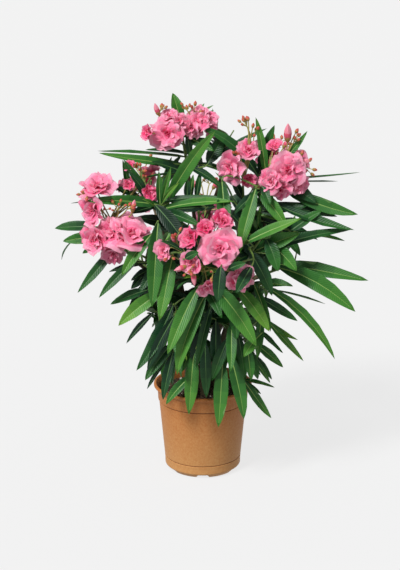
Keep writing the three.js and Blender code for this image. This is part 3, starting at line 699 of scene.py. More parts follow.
# ---- Pot and soil ----
@dataclass
class Pot:
    """A round nursery pot with a rolled rim, a collar, a foot ring and six drainage notches."""

    height: float = 137.0
    rim_radius: float = 75.0
    neck_radius: float = 69.4
    neck_height: float = 129.0
    lip_width: float = 3.5
    collar_low: float = 111.0
    collar_step: float = 1.4
    wall_top_radius: float = 67.0
    band_radius: float = 58.0
    band_low: float = 7.0
    band_line: float = 19.5
    band_high: float = 14.0
    foot_radius: float = 51.5
    foot_width: float = 6.0
    wall: float = 2.4
    floor_lift: float = 4.0
    floor_round: float = 4.5
    groove_depth: float = 0.8
    groove_width: float = 1.3
    pad_radius: float = 12.0
    notches: int = 6
    notch_width: float = 17.0
    notch_height: float = 3.5
    notch_slope: float = 1.8  # how wide each side of a notch slopes
    segments: int = 192

    def inner_radius(self, height: float | Array) -> float | Array:
        """The pot's inner radius at a height, along its straight wall."""
        share = (height - self.band_high) / (self.collar_low - self.band_high)
        return mix(self.band_radius, self.wall_top_radius, share) - self.wall

    def groove(self, height: float) -> list[tuple[float, float]]:
        """The four corners of a fine moulded groove in the wall, from its foot up."""
        outside = self.inner_radius(height) + self.wall
        inside, top = outside - self.groove_depth, height + self.groove_width
        return [(outside, height), (inside, height + 0.1), (inside, top - 0.1), (outside, top)]

    def profile(self) -> Array:
        """Draws the pot's section.

        Returns:
            (rows, 2) radius and height, from under the floor, up the outside, over the rim and down inside.
        """
        floor = self.floor_lift + self.wall
        edge = self.inner_radius(floor + self.floor_round)
        corners = [
            (0, 0), (self.pad_radius, 0), (self.pad_radius + 1, self.floor_lift),
            (self.foot_radius - self.foot_width - 2, self.floor_lift),
            (self.foot_radius - self.foot_width, 0),
            (self.foot_radius, 0), (self.band_radius, self.band_low), (self.band_radius, self.band_high),
            *self.groove(self.band_line), *self.groove(self.collar_low - self.groove_width),
            (self.wall_top_radius + self.collar_step, self.collar_low + 0.6),
            (self.neck_radius, self.neck_height), (self.rim_radius, self.height - 4),
            (self.rim_radius, self.height - 1), (self.rim_radius - self.lip_width, self.height),
            (self.neck_radius - self.wall + 0.6, self.neck_height + 1), (edge, floor + self.floor_round),
            (edge - self.floor_round, floor), (0, floor),
        ]
        return rounded(np.array(corners, float), 1.1, 4)

    def build(self) -> None:
        """Makes the pot: the section turned round Z, its foot lifted over the notches."""
        profile = self.profile()
        radius, height = profile[1:-1].T
        step = 2 * math.pi / self.notches
        angles = ring_angles(self.segments) + math.pi / 2 + step / 2
        off = np.abs(angles % step - step / 2) * self.foot_radius
        open_here = np.clip((self.notch_width / 2 - off) / self.notch_slope + 0.5, 0, 1)
        in_foot = (radius > self.pad_radius + 3) & (height < self.notch_height)
        lift = np.where(in_foot[:, None], open_here * (self.notch_height - height[:, None]), 0)
        wall = self.inner_radius(height) + self.wall
        # Painted shade: the faces inside the moulded grooves take the darker finish.
        in_groove = np.abs(radius - wall + self.groove_depth) < 0.25
        in_groove &= (height > self.band_high + 1) & (height < self.collar_low)
        piece = Piece("nursery_pot")
        add_lathe(piece, profile, self.segments, lift, in_groove[:-1] & in_groove[1:])
        piece.finish([PLASTIC, GROOVE_PAINTED_SHADE], "pot_plastic", ["pot"])


@dataclass
class Soil:
    """Damp potting soil, a little lower at the wall, with crumbs of peat and grains of perlite on it."""

    pot: Pot
    top: float = 120.0
    flat_radius: float = 42.0
    heap: float = 4.5  # how far the loose top stands over the foot of the canes
    edge_drop: float = 1.5
    segments: int = 96
    rings: int = 26
    relief: float = 1.5
    crumbs: int = 420
    crumb_sizes: tuple[float, float] = (1.4, 3.4)
    grains: int = 120
    grain_sizes: tuple[float, float] = (0.9, 2.1)

    def top_height(self, radius: Array) -> Array:
        """The soil's smooth height at a radius."""
        edge = self.pot.inner_radius(self.pot.collar_low) - GAP
        share = np.clip((radius - self.flat_radius) / (edge - self.flat_radius), 0, 1)
        return self.top + self.heap - self.edge_drop * share

    def lumps(self, places: Array) -> Array:
        """The relief of two sizes of lumps, at places on the level."""
        return self.relief * (ripple(places, 17, 1.3) + 0.7 * ripple(places, 6, 4.1))

    def build(self) -> None:
        """Makes the soil: a turned solid whose top has two sizes of lumps, then the crumbs and grains."""
        pot = self.pot
        floor = pot.floor_lift + pot.wall + GAP
        low = floor + pot.floor_round
        edge = pot.inner_radius(pot.collar_low) - GAP
        side = pot.inner_radius(low) - 2 * GAP
        sides = [(0, floor), (side - pot.floor_round, floor), (side, low), (edge - GAP, pot.collar_low)]
        radii = np.linspace(edge, 0, self.rings)
        profile = np.concatenate([np.array(sides), np.stack([radii, self.top_height(radii)], axis=1)])
        radius = profile[1:-1, :1]
        is_top = (np.arange(len(radius)) >= len(sides))[:, None]
        lumps = self.lumps(round_z(radius, ring_angles(self.segments), 0.0))
        piece = Piece("potting_soil")
        add_lathe(piece, profile, self.segments, np.where(is_top, lumps * np.minimum(1, radius / 6), 0))
        piece.finish([PEAT], "potting_soil", ["soil"])
        self.scatter("peat_crumbs", CRUMB, self.crumbs, self.crumb_sizes, CRUMB_SEED, edge - 3)
        self.scatter("perlite_grains", PERLITE, self.grains, self.grain_sizes, GRAIN_SEED, edge - 2)

    def scatter(self, name: str, finish: Finish, count: int, sizes: tuple[float, float], seed: int,
                reach: float) -> None:
        """Strews uneven pebbles over the soil, each a bent icosahedron half sunk in it.

        Args:
            name: the piece's name.
            finish: what they are made of.
            count: how many.
            sizes: their least and greatest radius.
            seed: for their places.
            reach: how far from the pot's middle they lie.
        """
        source = np.random.default_rng(seed)
        corners, faces = icosahedron()
        radius = reach * np.sqrt(source.random(count))
        angle = source.random(count) * 2 * math.pi
        size = source.uniform(*sizes, count)
        centre = round_z(radius, angle, 0.0)
        centre[:, 2] = self.top_height(radius) + self.lumps(centre) + 0.2 * size
        bent = corners * source.uniform(0.65, 1.25, (count, 12, 1)) * source.uniform(0.7, 1.2, (count, 1, 3))
        piece = Piece(name)
        piece.add(centre[:, None] + bent * size[:, None, None], faces)
        piece.finish([finish], "potting_soil", ["soil"])


# ---- Canes and boughs ----
@dataclass
class Mass:
    """A mass of foliage: a stem, and the leaves that open from it.

    hub and axis are its stem's middle and direction, low and high are the degrees by which its lowest and
    highest leaves open from the stem, and droop is how far they bend down. phase turns its whorls, and size
    scales its leaves.
    """

    name: str
    hub: tuple[float, float, float]
    axis: tuple[float, float, float]
    low: float
    high: float
    droop: float
    phase: float
    size: float
    reach: tuple[float, float, float] | None = None  # the middle of its furthest tips
    tint_and_painted_light: float = 0.0  # shifts its leaves' tone, lighter below zero: partly their own lighter or deeper green, partly painted light on masses the key light leaves in shade and painted shade in the crown's middle
    stem: float = 58.0  # its length
    way: Array = field(init=False)
    foot: Array = field(init=False)
    tip: Array = field(init=False)
    seat: Array = field(init=False)

    def __post_init__(self) -> None:
        """Works out where the stem stands, and the seat that the mass keeps its space round."""
        hub = np.array(self.hub, float)
        self.way = aimed(self.axis)
        self.foot = hub - self.way * self.stem / 2
        self.tip = hub + self.way * self.stem / 2
        if self.reach:
            self.seat = mix(hub, np.array(self.reach), 0.45)
        else:
            self.seat = hub + 30 * (self.way + DOWN * math.sin(math.radians(self.droop)) * 0.75)


MASSES = {mass.name: mass for mass in (
    Mass("top", (-27, 10, 498), (-0.15, 0, 1), 88, 25, 18, 10, 0.9, (-94, 4.667, 526.333), 0.1),
    Mass("top_right", (32, 34, 484), (0.15, 0, 1), 85, 35, 30, 40, 0.7, (73, 0, 530), 0.3),
    Mass("left_high", (-56, -44, 432), (-0.2, -0.2, 1), 85, 30, 20, 0, 1.0, (-78, -63.333, 478.667), 0.9),
    Mass("mid_high", (56, -22, 408), (0.1, -0.3, 1), 95, 50, 45, 20, 1.0, (44, -86, 393.5), 0.5),
    Mass("right_high", (104, -26, 446), (0.25, -0.2, 1), 85, 25, 22, 0, 1.0, (185.6, -38.4, 471.6), 0.2),
    Mass("mid_right", (72, -84, 372), (0.35, -0.6, 0.7), 80, 40, 40, 30, 1.0, (137, -110, 413), -0.4),
    Mass("right", (118, -16, 324), (0.85, -0.1, 0.35), 70, 20, 38, 0, 1.0, (220, -46, 291.75), -1.1),
    Mass("left", (-124, -36, 368), (-0.6, -0.2, 0.75), 85, 35, 35, 50, 0.9, (-189, -50, 335.5)),
    Mass("left_low", (-72, -74, 348), (-0.4, -0.6, 0.5), 80, 35, 55, 20, 1.0, (-84, -133.333, 310.667)),
    Mass("front", (0, -94, 312), (0, -0.6, 0.75), 80, 40, 60, 0, 1.0, (22.75, -151.5, 240), -0.5),
    Mass("centre", (-6, -26, 388), (0, -0.25, 1), 90, 45, 35, 30, 1.0, None, 1.3),
    Mass("low_front", (6, -64, 250), (0.1, -0.6, 0.7), 80, 40, 60, 0, 1.0, (3, -127, 156), -0.2),
    Mass("low_front_left", (-36, -52, 224), (-0.4, -0.45, 0.75), 80, 35, 65, 30, 0.9, (-52, -98, 139), 0.2),
    Mass("low_front_right", (42, -52, 222), (0.4, -0.45, 0.75), 80, 35, 65, 10, 0.9, (67, -93, 122.25), -0.9),
    Mass("low_left", (-60, -4, 240), (-0.7, -0.1, 0.6), 80, 30, 65, 0, 0.85, (-127.333, -20, 235.333), -1.0),
    Mass("low_right", (76, -4, 232), (0.7, -0.1, 0.6), 80, 30, 55, 30, 0.85, (128.75, -40, 163.75), -1.4),
    Mass("back_left_high", (-84, 72, 420), (-0.35, 0.35, 0.9), 85, 30, 30, 20, 1.0),
    Mass("back_right_high", (88, 84, 410), (0.35, 0.4, 0.9), 85, 30, 30, 0, 1.0),
    Mass("back_mid", (4, 112, 342), (0, 0.7, 0.7), 80, 35, 50, 40, 1.0),
    Mass("back_left", (-100, 50, 318), (-0.7, 0.4, 0.5), 80, 35, 50, 10, 1.0),
    Mass("back_right", (102, 64, 304), (0.7, 0.45, 0.5), 80, 35, 50, 30, 1.0),
    Mass("back_low_left", (-42, 60, 226), (-0.4, 0.6, 0.7), 80, 35, 65, 0, 0.85),
    Mass("back_low_right", (46, 58, 224), (0.4, 0.6, 0.7), 80, 35, 65, 20, 0.85),
)}


# The long leaves that show from the front, by mass: root, tip, width, how far the blade turns to the front
# (0 lies flat, 1 stands square to it), tone, darker as painted shade on leaves in shade, and how far it
# bends, in degrees.
LONG_LEAVES = {
    "top": (
        ((-32, 24, 534), (-45, 34, 578), 16.8, 1, 2.5, 6),
        ((-22, 4, 488), (-155, -10, 501), 9.5, 0.3, 3.5, 6),
        ((-25, -4, 479), (-152, -20, 500), 13, 0.6, 2.5, -8),
        ((-19, 20, 489), (-85, 10, 498), 9, 0.3, 4.5, 8),
        ((-16, 0, 470), (-82, -14, 482), 10.5, 0.4, 3.5, 14),
        ((-28, 4, 478), (31, -14, 443), 12, 0.6, 4.5, 20),
        ((-25, 6, 518), (16, -20, 503), 14, 0.9, 3.5, 16), ((-23, 0, 523), (-18, -6, 489), 10, 1, 4.5, 6),
        ((-19, 10, 498), (-10, 0, 467), 11, 1, 4.5, 8), ((-10, -10, 428), (-4, 0, 468), 9, 1, 4.5, 6),
        ((-19, -10, 428), (-14, -4, 464), 8, 1, 3.5, 6),
    ),
    "left_high": (
        ((-36, -30, 473), (-87, -50, 470), 5.2, 0.1, 4.2, 10),
        ((-54, -56, 433), (18, -78, 546), 19, 1, 2.2, 14),
        ((-56, -60, 431), (-168, -84, 445), 15.3, 0.75, 3.2, 16),
        ((-132, -60, 440), (-192, -60, 435), 3.8, 0.1, 5.2, 8),
        ((-76, -50, 431), (-114, -60, 500), 12.5, 1, 4.2, 8),
        ((-68, -50, 421), (-108, -66, 486), 11.7, 0.9, 5.2, 12),
        ((-62, -70, 433), (-63, -76, 487), 9.5, 1, 3.2, 4),
        ((-59, -72, 437), (-46, -80, 494), 8, 1, 2.2, 6),
        ((-58, -74, 439), (-34, -90, 473), 6.5, 0.9, 1.2, 30),
        ((-68, -72, 431), (-87, -90, 449), 7.3, 0.7, 2.2, 30),
        ((-69, -80, 438), (-19, -112, 381), 20.9, 1, 6.2, 16),
        ((-65, -56, 436), (33, -80, 447), 10.2, 0.5, 4.2, 16),
        ((-65, -66, 426), (45, -96, 447), 12.3, 0.6, 2.2, 20),
        ((-59, -70, 425), (-4, -100, 413), 14.5, 0.8, 4.2, 24),
        ((-40, -30, 392), (-98, -40, 408), 16, 0.9, 6.2, 10),
        ((-29, -8, 469), (-76, -20, 487), 12, 0.8, 5.2, 10),
        ((-67, -40, 426), (-107, -60, 419), 11, 0.8, 6.2, 8),
        ((-92, -40, 439), (-130, -50, 458), 10, 0.9, 5.2, 8),
        ((-105, -44, 440), (-116, -54, 498), 9, 1, 4.2, 4),
        ((-23, -20, 431), (-23, -16, 460), 10, 1, 5.2, 4),
    ),
    "mid_high": (
        ((82, -14, 461), (-7, -6, 536), 15, 0.8, 4.2, 50), ((59, -30, 433), (41, -40, 469), 12, 1, 5, 6),
        ((92, -40, 468), (75, -48, 559), 11.8, 1, 2, 8), ((76, -70, 460), (54, -104, 373), 18.1, 1, 2, 10),
        ((27, -70, 471), (34, -112, 394), 18.7, 1, 3, 10),
        ((85, -60, 455), (42, -90, 424), 11.6, 0.7, 5, 20),
    ),
    "top_right": (
        ((0, 24, 468), (95, 20, 528), 10.6, 0.4, 4.5, 10), ((-6, 20, 474), (37, 0, 465), 9, 0.6, 3.5, 24),
        ((7, 0, 479), (30, 10, 517), 19, 1, 4.5, 8),
    ),
    "right_high": (
        ((82, -30, 470), (104, -32, 544), 16, 1, 4, 6), ((93, -40, 472), (150, -40, 538), 11.1, 1, 3, -10),
        ((87, -20, 460), (233, 0, 466), 4.5, 0.05, 4, -6),
        ((87, -16, 454), (201, 10, 450), 5.3, 0.05, 5, 4),
        ((121, -40, 448), (225, -60, 419), 19, 0.8, 3, -12),
        ((114, -36, 458), (165, -56, 434), 19, 0.8, 5, 30),
        ((100, -56, 436), (218, -84, 401), 14, 0.6, 4, -20),
        ((78, -60, 455), (121, -84, 404), 17.5, 0.9, 2, 20),
        ((85, -66, 462), (97, -84, 439), 11.7, 0.8, 4, 24),
    ),
    "mid_right": (
        ((82, -84, 367), (214, -70, 398), 14, 0.65, 4.6, 20),
        ((126, -70, 396), (172, -70, 426), 14, 0.8, 3.6, 8),
        ((135, -60, 392), (207, -60, 378), 8, 0.4, 2.6, 8),
        ((59, -96, 385), (140, -104, 425), 15.2, 0.7, 1.6, 14),
        ((91, -90, 390), (108, -110, 347), 18.7, 0.9, 3.6, 24),
        ((97, -80, 379), (135, -104, 346), 20.2, 0.9, 2.6, 24),
        ((76, -80, 369), (139, -92, 399), 21, 0.8, 2.6, 10),
        ((74, -90, 322), (98, -120, 259), 11.5, 0.8, 2.6, 14),
        ((92, -40, 428), (196, -50, 412), 17, 0.7, 5.2, 6),
        ((88, -46, 404), (168, -56, 378), 17, 0.7, 5.2, 6),
        ((84, -46, 420), (150, -60, 430), 15, 0.7, 5.2, 6),
        ((66, -96, 375), (99, -116, 312), 18.7, 0.9, 4.6, 16),
        ((118, -56, 389), (142, -64, 357), 12, 0.9, 3.6, 10),
    ),
    "right": (
        ((112, -50, 334), (223, -90, 280), 24, 0.9, 2.6, 38),
        ((102, -40, 338), (243, -60, 318), 20, 0.7, 2.8, 8),
        ((84, -50, 309), (132, -70, 312), 13.9, 0.6, 3.1, 16),
        ((105, -40, 297), (182, -50, 278), 4.4, 0.1, 3.1, 10),
        ((87, -60, 311), (197, -60, 195), 14, 0.8, 2.1, 38),
        ((81, -70, 296), (139, -80, 262), 13.1, 0.8, 4.1, 6),
    ),
    "low_right": (
        ((85, -40, 258), (141, -60, 225), 9, 0.7, 0.8, -36),
        ((94, -50, 254), (150, -60, 192), 10, 0.8, 1.6, 2),
        ((82, -40, 236), (120, -50, 201), 8.1, 0.5, 3.6, 6),
        ((76, -50, 218), (120, -60, 182), 13, 0.8, 2.6, 10),
        ((75, -40, 197), (104, -40, 155), 9, 0.8, 3.6, 4),
        ((74, -44, 191), (101, -50, 153), 8.1, 0.6, 2.6, 10),
        ((68, -30, 180), (87, -30, 158), 6.7, 0.6, 3.6, 10),
        ((56, -40, 156), (108, -50, 146), 7.5, 0.3, 2.6, 8),
        ((60, -50, 159), (104, -60, 101), 12, 0.8, 2.6, 0.6),
        ((54, -30, 153), (88, -44, 133), 7.5, 0.3, 3.6, 10),
        ((87, -60, 266), (80, -76, 201), 12.4, 0.9, 2.6, 10),
        ((62, -56, 220), (82, -66, 165), 15, 0.9, 3.6, 10), ((52, -60, 235), (63, -70, 166), 14, 1, 3.6, 6),
    ),
    "front": (
        ((13, -130, 334), (76, -160, 251), 24.7, 1, 2, 22),
        ((50, -110, 322), (95, -140, 266), 19.2, 1, 1, 20),
        ((-6, -130, 331), (-51, -160, 239), 20.5, 1, 2, 14),
        ((4, -120, 316), (-37, -150, 204), 20.6, 1, 2, 26),
        ((25, -172, 374), (21, -188, 326), 17.5, 1, 5, 8),
        ((68, -150, 366), (46, -184, 338), 16.1, 1, 5, 10),
        ((36, -170, 369), (60, -178, 380), 10.5, 0.9, 4, 16),
        ((-25, -160, 381), (-6, -168, 393), 10.6, 0.9, 4, 16),
        ((42, -110, 304), (48, -130, 250), 15.7, 1, 4.2, 12),
    ),
    "low_front": (
        ((13, -100, 295), (-10, -130, 207), 12.9, 1, 4, 14),
        ((-13, -90, 217), (-21, -116, 129), 19.4, 1, 2, 10),
        ((3, -90, 233), (5, -106, 152), 15.9, 1, 4.6, 10),
        ((37, -90, 239), (13, -104, 177), 15.9, 1, 4.2, 10),
        ((-25, -90, 298), (-36, -110, 235), 17.3, 1, 6, 12),
        ((19, -80, 263), (19, -96, 188), 15.9, 1, 5.2, 10),
        ((-4, -80, 248), (-16, -96, 188), 15.9, 1, 6, 10),
    ),
    "left_low": (
        ((-64, -100, 418), (-74, -140, 303), 22.1, 1, 3, 12),
        ((-43, -110, 370), (-63, -146, 285), 20.6, 1, 2, 12),
        ((-59, -90, 311), (-123, -100, 261), 20, 0.9, 1, 14),
        ((-80, -80, 310), (-135, -90, 291), 13.8, 0.7, 4, 16),
        ((-27, -140, 385), (-60, -150, 404), 7.1, 0.7, 5, 20),
        ((-74, -100, 400), (-116, -124, 345), 16.5, 0.9, 2, 14),
        ((-91, -90, 364), (-150, -110, 307), 13, 0.9, 4, 10),
        ((-80, -70, 349), (-137, -80, 337), 9.5, 0.5, 6, 12),
        ((-74, -70, 340), (-105, -80, 324), 10.2, 0.6, 6, 12),
        ((-73, -60, 322), (-110, -76, 271), 14.6, 0.8, 6, 12),
        ((-62, -90, 355), (-91, -110, 316), 14.4, 0.9, 5, 12),
        ((-76, -50, 334), (-106, -60, 305), 14, 0.9, 6, 8),
    ),
    "low_left": (
        ((-72, -60, 269), (-113, -70, 223), 8.8, 0.7, 6, 10),
    ),
    "low_front_left": (
        ((-44, -80, 286), (-98, -100, 192), 18.8, 0.9, 4.5, -16),
        ((-42, -90, 273), (-81, -100, 190), 14.5, 0.9, 6, 10),
        ((-47, -80, 226), (-85, -96, 175), 15.9, 0.9, 4, 10),
        ((-55, -70, 197), (-83, -80, 155), 7.3, 0.6, 6, 8),
        ((-44, -80, 214), (-59, -96, 144), 13.8, 1, 5.2, 8),
        ((-18, -90, 180), (-54, -104, 140), 13.7, 0.8, 3, 16),
    ),
    "low_front_right": (
        ((30, -90, 205), (22, -112, 107), 20.2, 1, 2.5, 10),
        ((40, -90, 214), (60, -108, 118), 19.5, 1, 2.9, 12),
        ((42, -90, 264), (40, -124, 199), 15, 1, 2.9, 12),
        ((87, -80, 243), (59, -120, 220), 17.9, 0.9, 1.9, 30),
        ((65, -80, 223), (71, -92, 173), 13.8, 1, 2.9, 12),
    ),
    "left": (
        ((-157, -40, 394), (-219, -20, 386), 15.5, 0.8, 4, 10),
        ((-153, -50, 381), (-205, -50, 375), 16, 0.9, 3, 12),
        ((-150, -60, 371), (-175, -76, 364), 10.2, 0.8, 4, 16),
        ((-192, -50, 374), (-205, -50, 345), 3, 0.5, 5, 50),
        ((-125, -70, 377), (-182, -90, 308), 13.8, 0.9, 4, -10),
    ),
    "centre": (
        ((-22, -60, 401), (-39, -84, 353), 17.5, 0.9, 6, 16), ((-49, 0, 421), (41, 6, 419), 14, 0.9, 5, 6),
        ((-46, -10, 412), (20, 0, 414), 12, 0.9, 6, 6), ((54, -60, 392), (77, -84, 353), 17.5, 0.9, 6, 16),
    ),
}


@dataclass
class Limb:
    """A cane or bough: a tapering line of points at even steps, with its radius at each."""

    name: str
    points: Array
    radii: Array

    def at(self, share: float) -> tuple[Array, Array]:
        """The point at a share of the length, and the way on from it."""
        here, on = evened(self.points, [share, min(1, share + 0.01)])
        return here, unit(on - here)


@dataclass
class Limbs:
    """The woody canes, which stand in the soil, and the boughs that leave them."""

    soil: Soil
    canes: tuple[tuple[str, float, float, float], ...] = (  # mass, degrees and mm from the middle, radius
        ("top", 100, 8, 5.4), ("right_high", 20, 24, 5.0), ("left_high", 200, 24, 5.0),
        ("front", 275, 25, 4.8), ("back_left_high", 135, 30, 4.8), ("back_right_high", 60, 32, 4.8),
    )
    boughs: tuple[tuple[str, str, float], ...] = (  # mass, the limb that it leaves, and where
        ("top_right", "top", 0.66), ("mid_high", "right_high", 0.62), ("mid_right", "right_high", 0.5),
        ("right", "right_high", 0.36), ("low_right", "right_high", 0.16), ("left", "left_high", 0.52),
        ("left_low", "left_high", 0.36), ("low_left", "left_high", 0.18), ("centre", "top", 0.5),
        ("low_front", "front", 0.42), ("low_front_left", "front", 0.14), ("low_front_right", "front", 0.24),
        ("back_left", "back_left_high", 0.42), ("back_low_left", "back_left_high", 0.16),
        ("back_mid", "back_right_high", 0.42), ("back_right", "back_right_high", 0.3),
        ("back_low_right", "back_right_high", 0.14),
    )
    tip_radius: float = 2.3
    bough_radius: float = 3.1
    flare: float = 2.6
    flare_reach: float = 14.0
    collar: float = 1.2  # the swell at a bough's foot
    collar_reach: float = 8.0
    sunk: float = 4.0  # how far a cane goes into the soil
    pull: float = 0.38
    follow: float = 0.6
    ring_step: float = 3.0  # between rings along a limb
    sides: int = 14
    node_step: float = 26.0  # between the rings that old leaves left on the bark
    node_width: float = 2.2
    node_swell: float = 0.45
    furrow: float = 0.035  # the depth of the bark's furrows, against the radius
    limbs: dict[str, Limb] = field(default_factory=dict)

    def run(self, start: Array, way: Array, mass: Mass) -> Array:
        """Draws a limb's middle line.

        Args:
            start: where it leaves.
            way: the direction that it sets off in.
            mass: the mass whose stem it ends at.

        Returns:
            Its points, at even steps.
        """
        end = mass.foot - mass.way * GAP
        pull = np.linalg.norm(end - start) * self.pull
        line = curve_points(start, start + way * pull, end - mass.way * pull, end, 120)
        count = max(8, round(step_lengths(line).sum() / self.ring_step))
        return evened(line, np.linspace(0, 1, count))

    def keep(self, name: str, line: Array, radius: float, swell: float, reach: float) -> None:
        """Keeps a limb, whose radius tapers along it and swells towards its foot.

        Args:
            name: its name.
            line: its middle line.
            radius: its radius without the swell.
            swell: how much thicker its foot is.
            reach: how far up the swell dies away to a third.
        """
        share = np.linspace(0, 1, len(line))
        swell = swell * np.exp(-share * len(line) * self.ring_step / reach)
        self.limbs[name] = Limb(name, line, mix(radius, self.tip_radius, share) + swell)

    def grow(self) -> None:
        """Works out where every cane and bough runs, and how thick it is."""
        for name, angle, distance, radius in self.canes:
            foot = round_z(distance, math.radians(angle), self.soil.top + GAP)
            self.keep(name, self.run(foot, UP, MASSES[name]), radius, self.flare, self.flare_reach)
        for name, source, place in self.boughs:
            start, ahead = self.limbs[source].at(place)
            way = unit(unit(MASSES[name].foot - start) + ahead * self.follow)
            line = self.run(start, way, MASSES[name])
            self.keep(name, line, self.bough_radius, self.collar, self.collar_reach)

    def build(self) -> None:
        """Makes the canes and the boughs, each kind one piece, with the relief of their bark."""
        for kind, rows, sunk in (("cane", self.canes, self.sunk), ("bough", self.boughs, 0.0)):
            piece = Piece(f"oleander_{kind}s")
            names = [row[0] for row in rows]
            for name in names:
                self.add_limb(piece, self.limbs[name], sunk)
            piece.finish([BARK], "bark", [f"{kind}_{name}" for name in names])

    def add_limb(self, piece: Piece, limb: Limb, sunk: float) -> None:
        """Adds one limb: its radius is swollen at the nodes and furrowed along its length.

        Args:
            piece: the piece that takes it.
            limb: the limb.
            sunk: how far its foot goes down into the soil.
        """
        line = limb.points.copy()
        line[0] += DOWN * sunk
        run = np.arange(len(line)) * self.ring_step
        node = np.exp(-(((run % self.node_step) - self.node_step / 2) / self.node_width) ** 2)
        rings, ways, angles = tube_rings(line, limb.radii, self.sides)
        furrow = self.furrow * np.sin(angles * 5 + run[:, None] * 0.05 + limb.radii[0])
        rough = 0.09 * ripple(rings, 9, 2.0) + 0.06 * ripple(rings, 3.5, 5.0)
        relief = limb.radii[:, None] * (furrow + rough) + self.node_swell * node[:, None]
        add_rings(piece, rings + ways * relief[..., None], line[[0, -1]])


# ---- Trusses of bloom ----
@dataclass(frozen=True)
class Truss:
    """A truss and the mass that it stands on.

    blooms are (place, radius, the way it looks, how far open), buds are (place, the way it points, size),
    and sprigs of tiny buds are (place, the way it points, how many).
    """

    name: str
    mass: str
    blooms: tuple
    buds: tuple = ()
    sprigs: tuple = ()


FRONT_TRUSSES = [
    Truss("top_left", "top",
          (((-51, -18, 528), 25, (-0.15, -0.9, 0.35), 0.95), ((-50, -2, 550), 13.5, (0, -0.6, 0.8), 0.8),
           ((-35, -6, 545), 12.8, (0.4, -0.7, 0.6), 0.8), ((-79, -26, 532), 11.5, (-0.7, -0.6, 0.3), 0.45)),
          (((-67, -6, 561), (-0.3, -0.1, 1), 0.9),),
          (((-63, -6, 558), (0.3, 0, 0.9), 4),)),
    Truss("top_right", "top_right",
          (((-9, 0, 542), 18, (-0.2, -0.9, 0.4), 0.95), ((8, 6, 544), 14, (0.5, -0.7, 0.6), 0.9),
           ((-19, -8, 534), 13.5, (-0.6, -0.8, -0.1), 0.9), ((11, 2, 531), 12, (0.6, -0.8, -0.2), 0.8),
           ((-4, 12, 554), 11.5, (0, -0.6, 0.8), 0.8)),
          (),
          (((-22, 6, 556), (-0.6, 0, 0.9), 4), ((-13, 6, 555), (0.2, 0, 1), 3))),
    Truss("mid", "mid_high",
          (((39, -58, 488), 22.8, (-0.7, -0.75, -0.05), 0.9), ((65, -44, 510), 16.3, (0.1, -0.8, 0.6), 0.8),
           ((66, -54, 471), 11.1, (0.1, -0.9, -0.3), 0.35)),
          (((58, -40, 553), (-0.6, 0, 0.8), 0.4), ((65, -40, 555), (-0.1, 0, 1), 0.42),
           ((72, -40, 545), (0.2, 0, 1), 0.45)),
          (((64, -38, 542), (-0.5, 0, 0.8), 5), ((74, -38, 532), (0.1, 0, 1), 4),
           ((53, -50, 500), (-0.4, -0.2, 0.6), 3))),
    Truss("right", "right_high",
          (((122, -62, 484), 25.7, (-0.1, -0.95, 0.3), 0.95), ((98, -72, 471), 15.4, (-0.6, -0.8, 0.1), 0.7),
           ((112, -66, 457), 14.7, (-0.2, -0.95, -0.1), 0.75), ((137, -56, 462), 15.5, (0.5, -0.85, 0), 0.8),
           ((104, -44, 513), 12.6, (-0.1, -0.5, 0.9), 0.35)),
          (((122, -44, 534), (0, -0.2, 1), 1.35), ((146, -46, 493), (1, -0.1, 0.25), 0.95),
           ((143, -46, 506), (0.3, 0, 1), 0.5), ((135, -40, 537), (0.5, 0, 0.9), 0.5),
           ((148, -46, 479), (0.8, 0, 0.5), 0.5)),
          (((130, -42, 520), (0.5, 0, 0.8), 5), ((145, -46, 484), (0.8, 0, 0.6), 4))),
    Truss("left", "left",
          (((-104, -98, 399), 31, (0.15, -0.6, 0.78), 1), ((-131, -92, 401), 20, (-0.5, -0.8, 0.2), 0.8),
           ((-153, -66, 462), 26, (-0.1, -0.5, 0.85), 0.95),
           ((-158, -76, 427), 22, (-0.7, -0.7, 0.1), 0.8),
           ((-155, -84, 388), 22, (-0.6, -0.8, 0), 0.7), ((-129, -82, 366), 17, (0, -0.9, -0.35), 0.8),
           ((-77, -58, 451), 11, (0.2, -0.9, 0.2), 0.5), ((-108, -60, 462), 9.6, (0.2, -0.8, 0.5), 0.3),
           ((-105, -46, 486), 10, (-0.4, -0.6, 0.6), 0.3)),
          (((-100, -84, 436), (0.2, 0, 1), 0.9),
           ((-85, -44, 479), (0.2, 0, 1), 0.6), ((-134, -86, 415), (-0.2, -0.3, 0.9), 0.8)),
          (((-91, -46, 478), (-0.2, 0, 1), 5), ((-84, -48, 465), (0.2, 0, 1), 3),
           ((-122, -84, 430), (-0.2, -0.2, 0.8), 5), ((-110, -84, 431), (0.4, -0.1, 0.6), 4),
           ((-144, -78, 428), (-0.4, -0.3, 0.6), 4), ((-165, -76, 454), (-0.5, -0.5, -0.2), 3))),
    Truss("front", "front",
          (((24, -165, 397), 28, (-0.05, -0.95, 0.3), 1), ((-18, -150, 408), 14.9, (-0.5, -0.8, 0.2), 0.55),
           ((4, -144, 420), 12.1, (-0.1, -0.8, 0.5), 0.45), ((27, -140, 430), 14.2, (0.3, -0.7, 0.6), 0.5),
           ((-16, -154, 374), 15.6, (-0.5, -0.85, 0), 0.7), ((53, -148, 350), 19.5, (0.35, -0.9, -0.1), 0.75),
           ((6, -146, 335), 13.5, (0, -0.85, -0.4), 0.75), ((-54, -134, 386), 16, (-0.6, -0.75, -0.1), 0.6)),
          (((-31, -156, 366), (-0.8, -0.3, -0.2), 0.9), ((-13, -158, 352), (0.1, -0.3, -1), 0.9),
           ((-41, -134, 401), (-0.4, -0.3, 0.6), 0.7), ((13, -140, 429), (-0.3, -0.2, 1), 0.6)),
          (((-38, -136, 403), (-0.1, -0.3, 0.6), 5), ((-18, -158, 365), (-0.3, -0.6, -0.3), 5),
           ((14, -168, 363), (0.2, -0.8, -0.3), 3), ((-50, -140, 379), (0.2, -0.7, -0.2), 3))),
]
BACK_RADIUS = 29.0  # of a full bloom behind
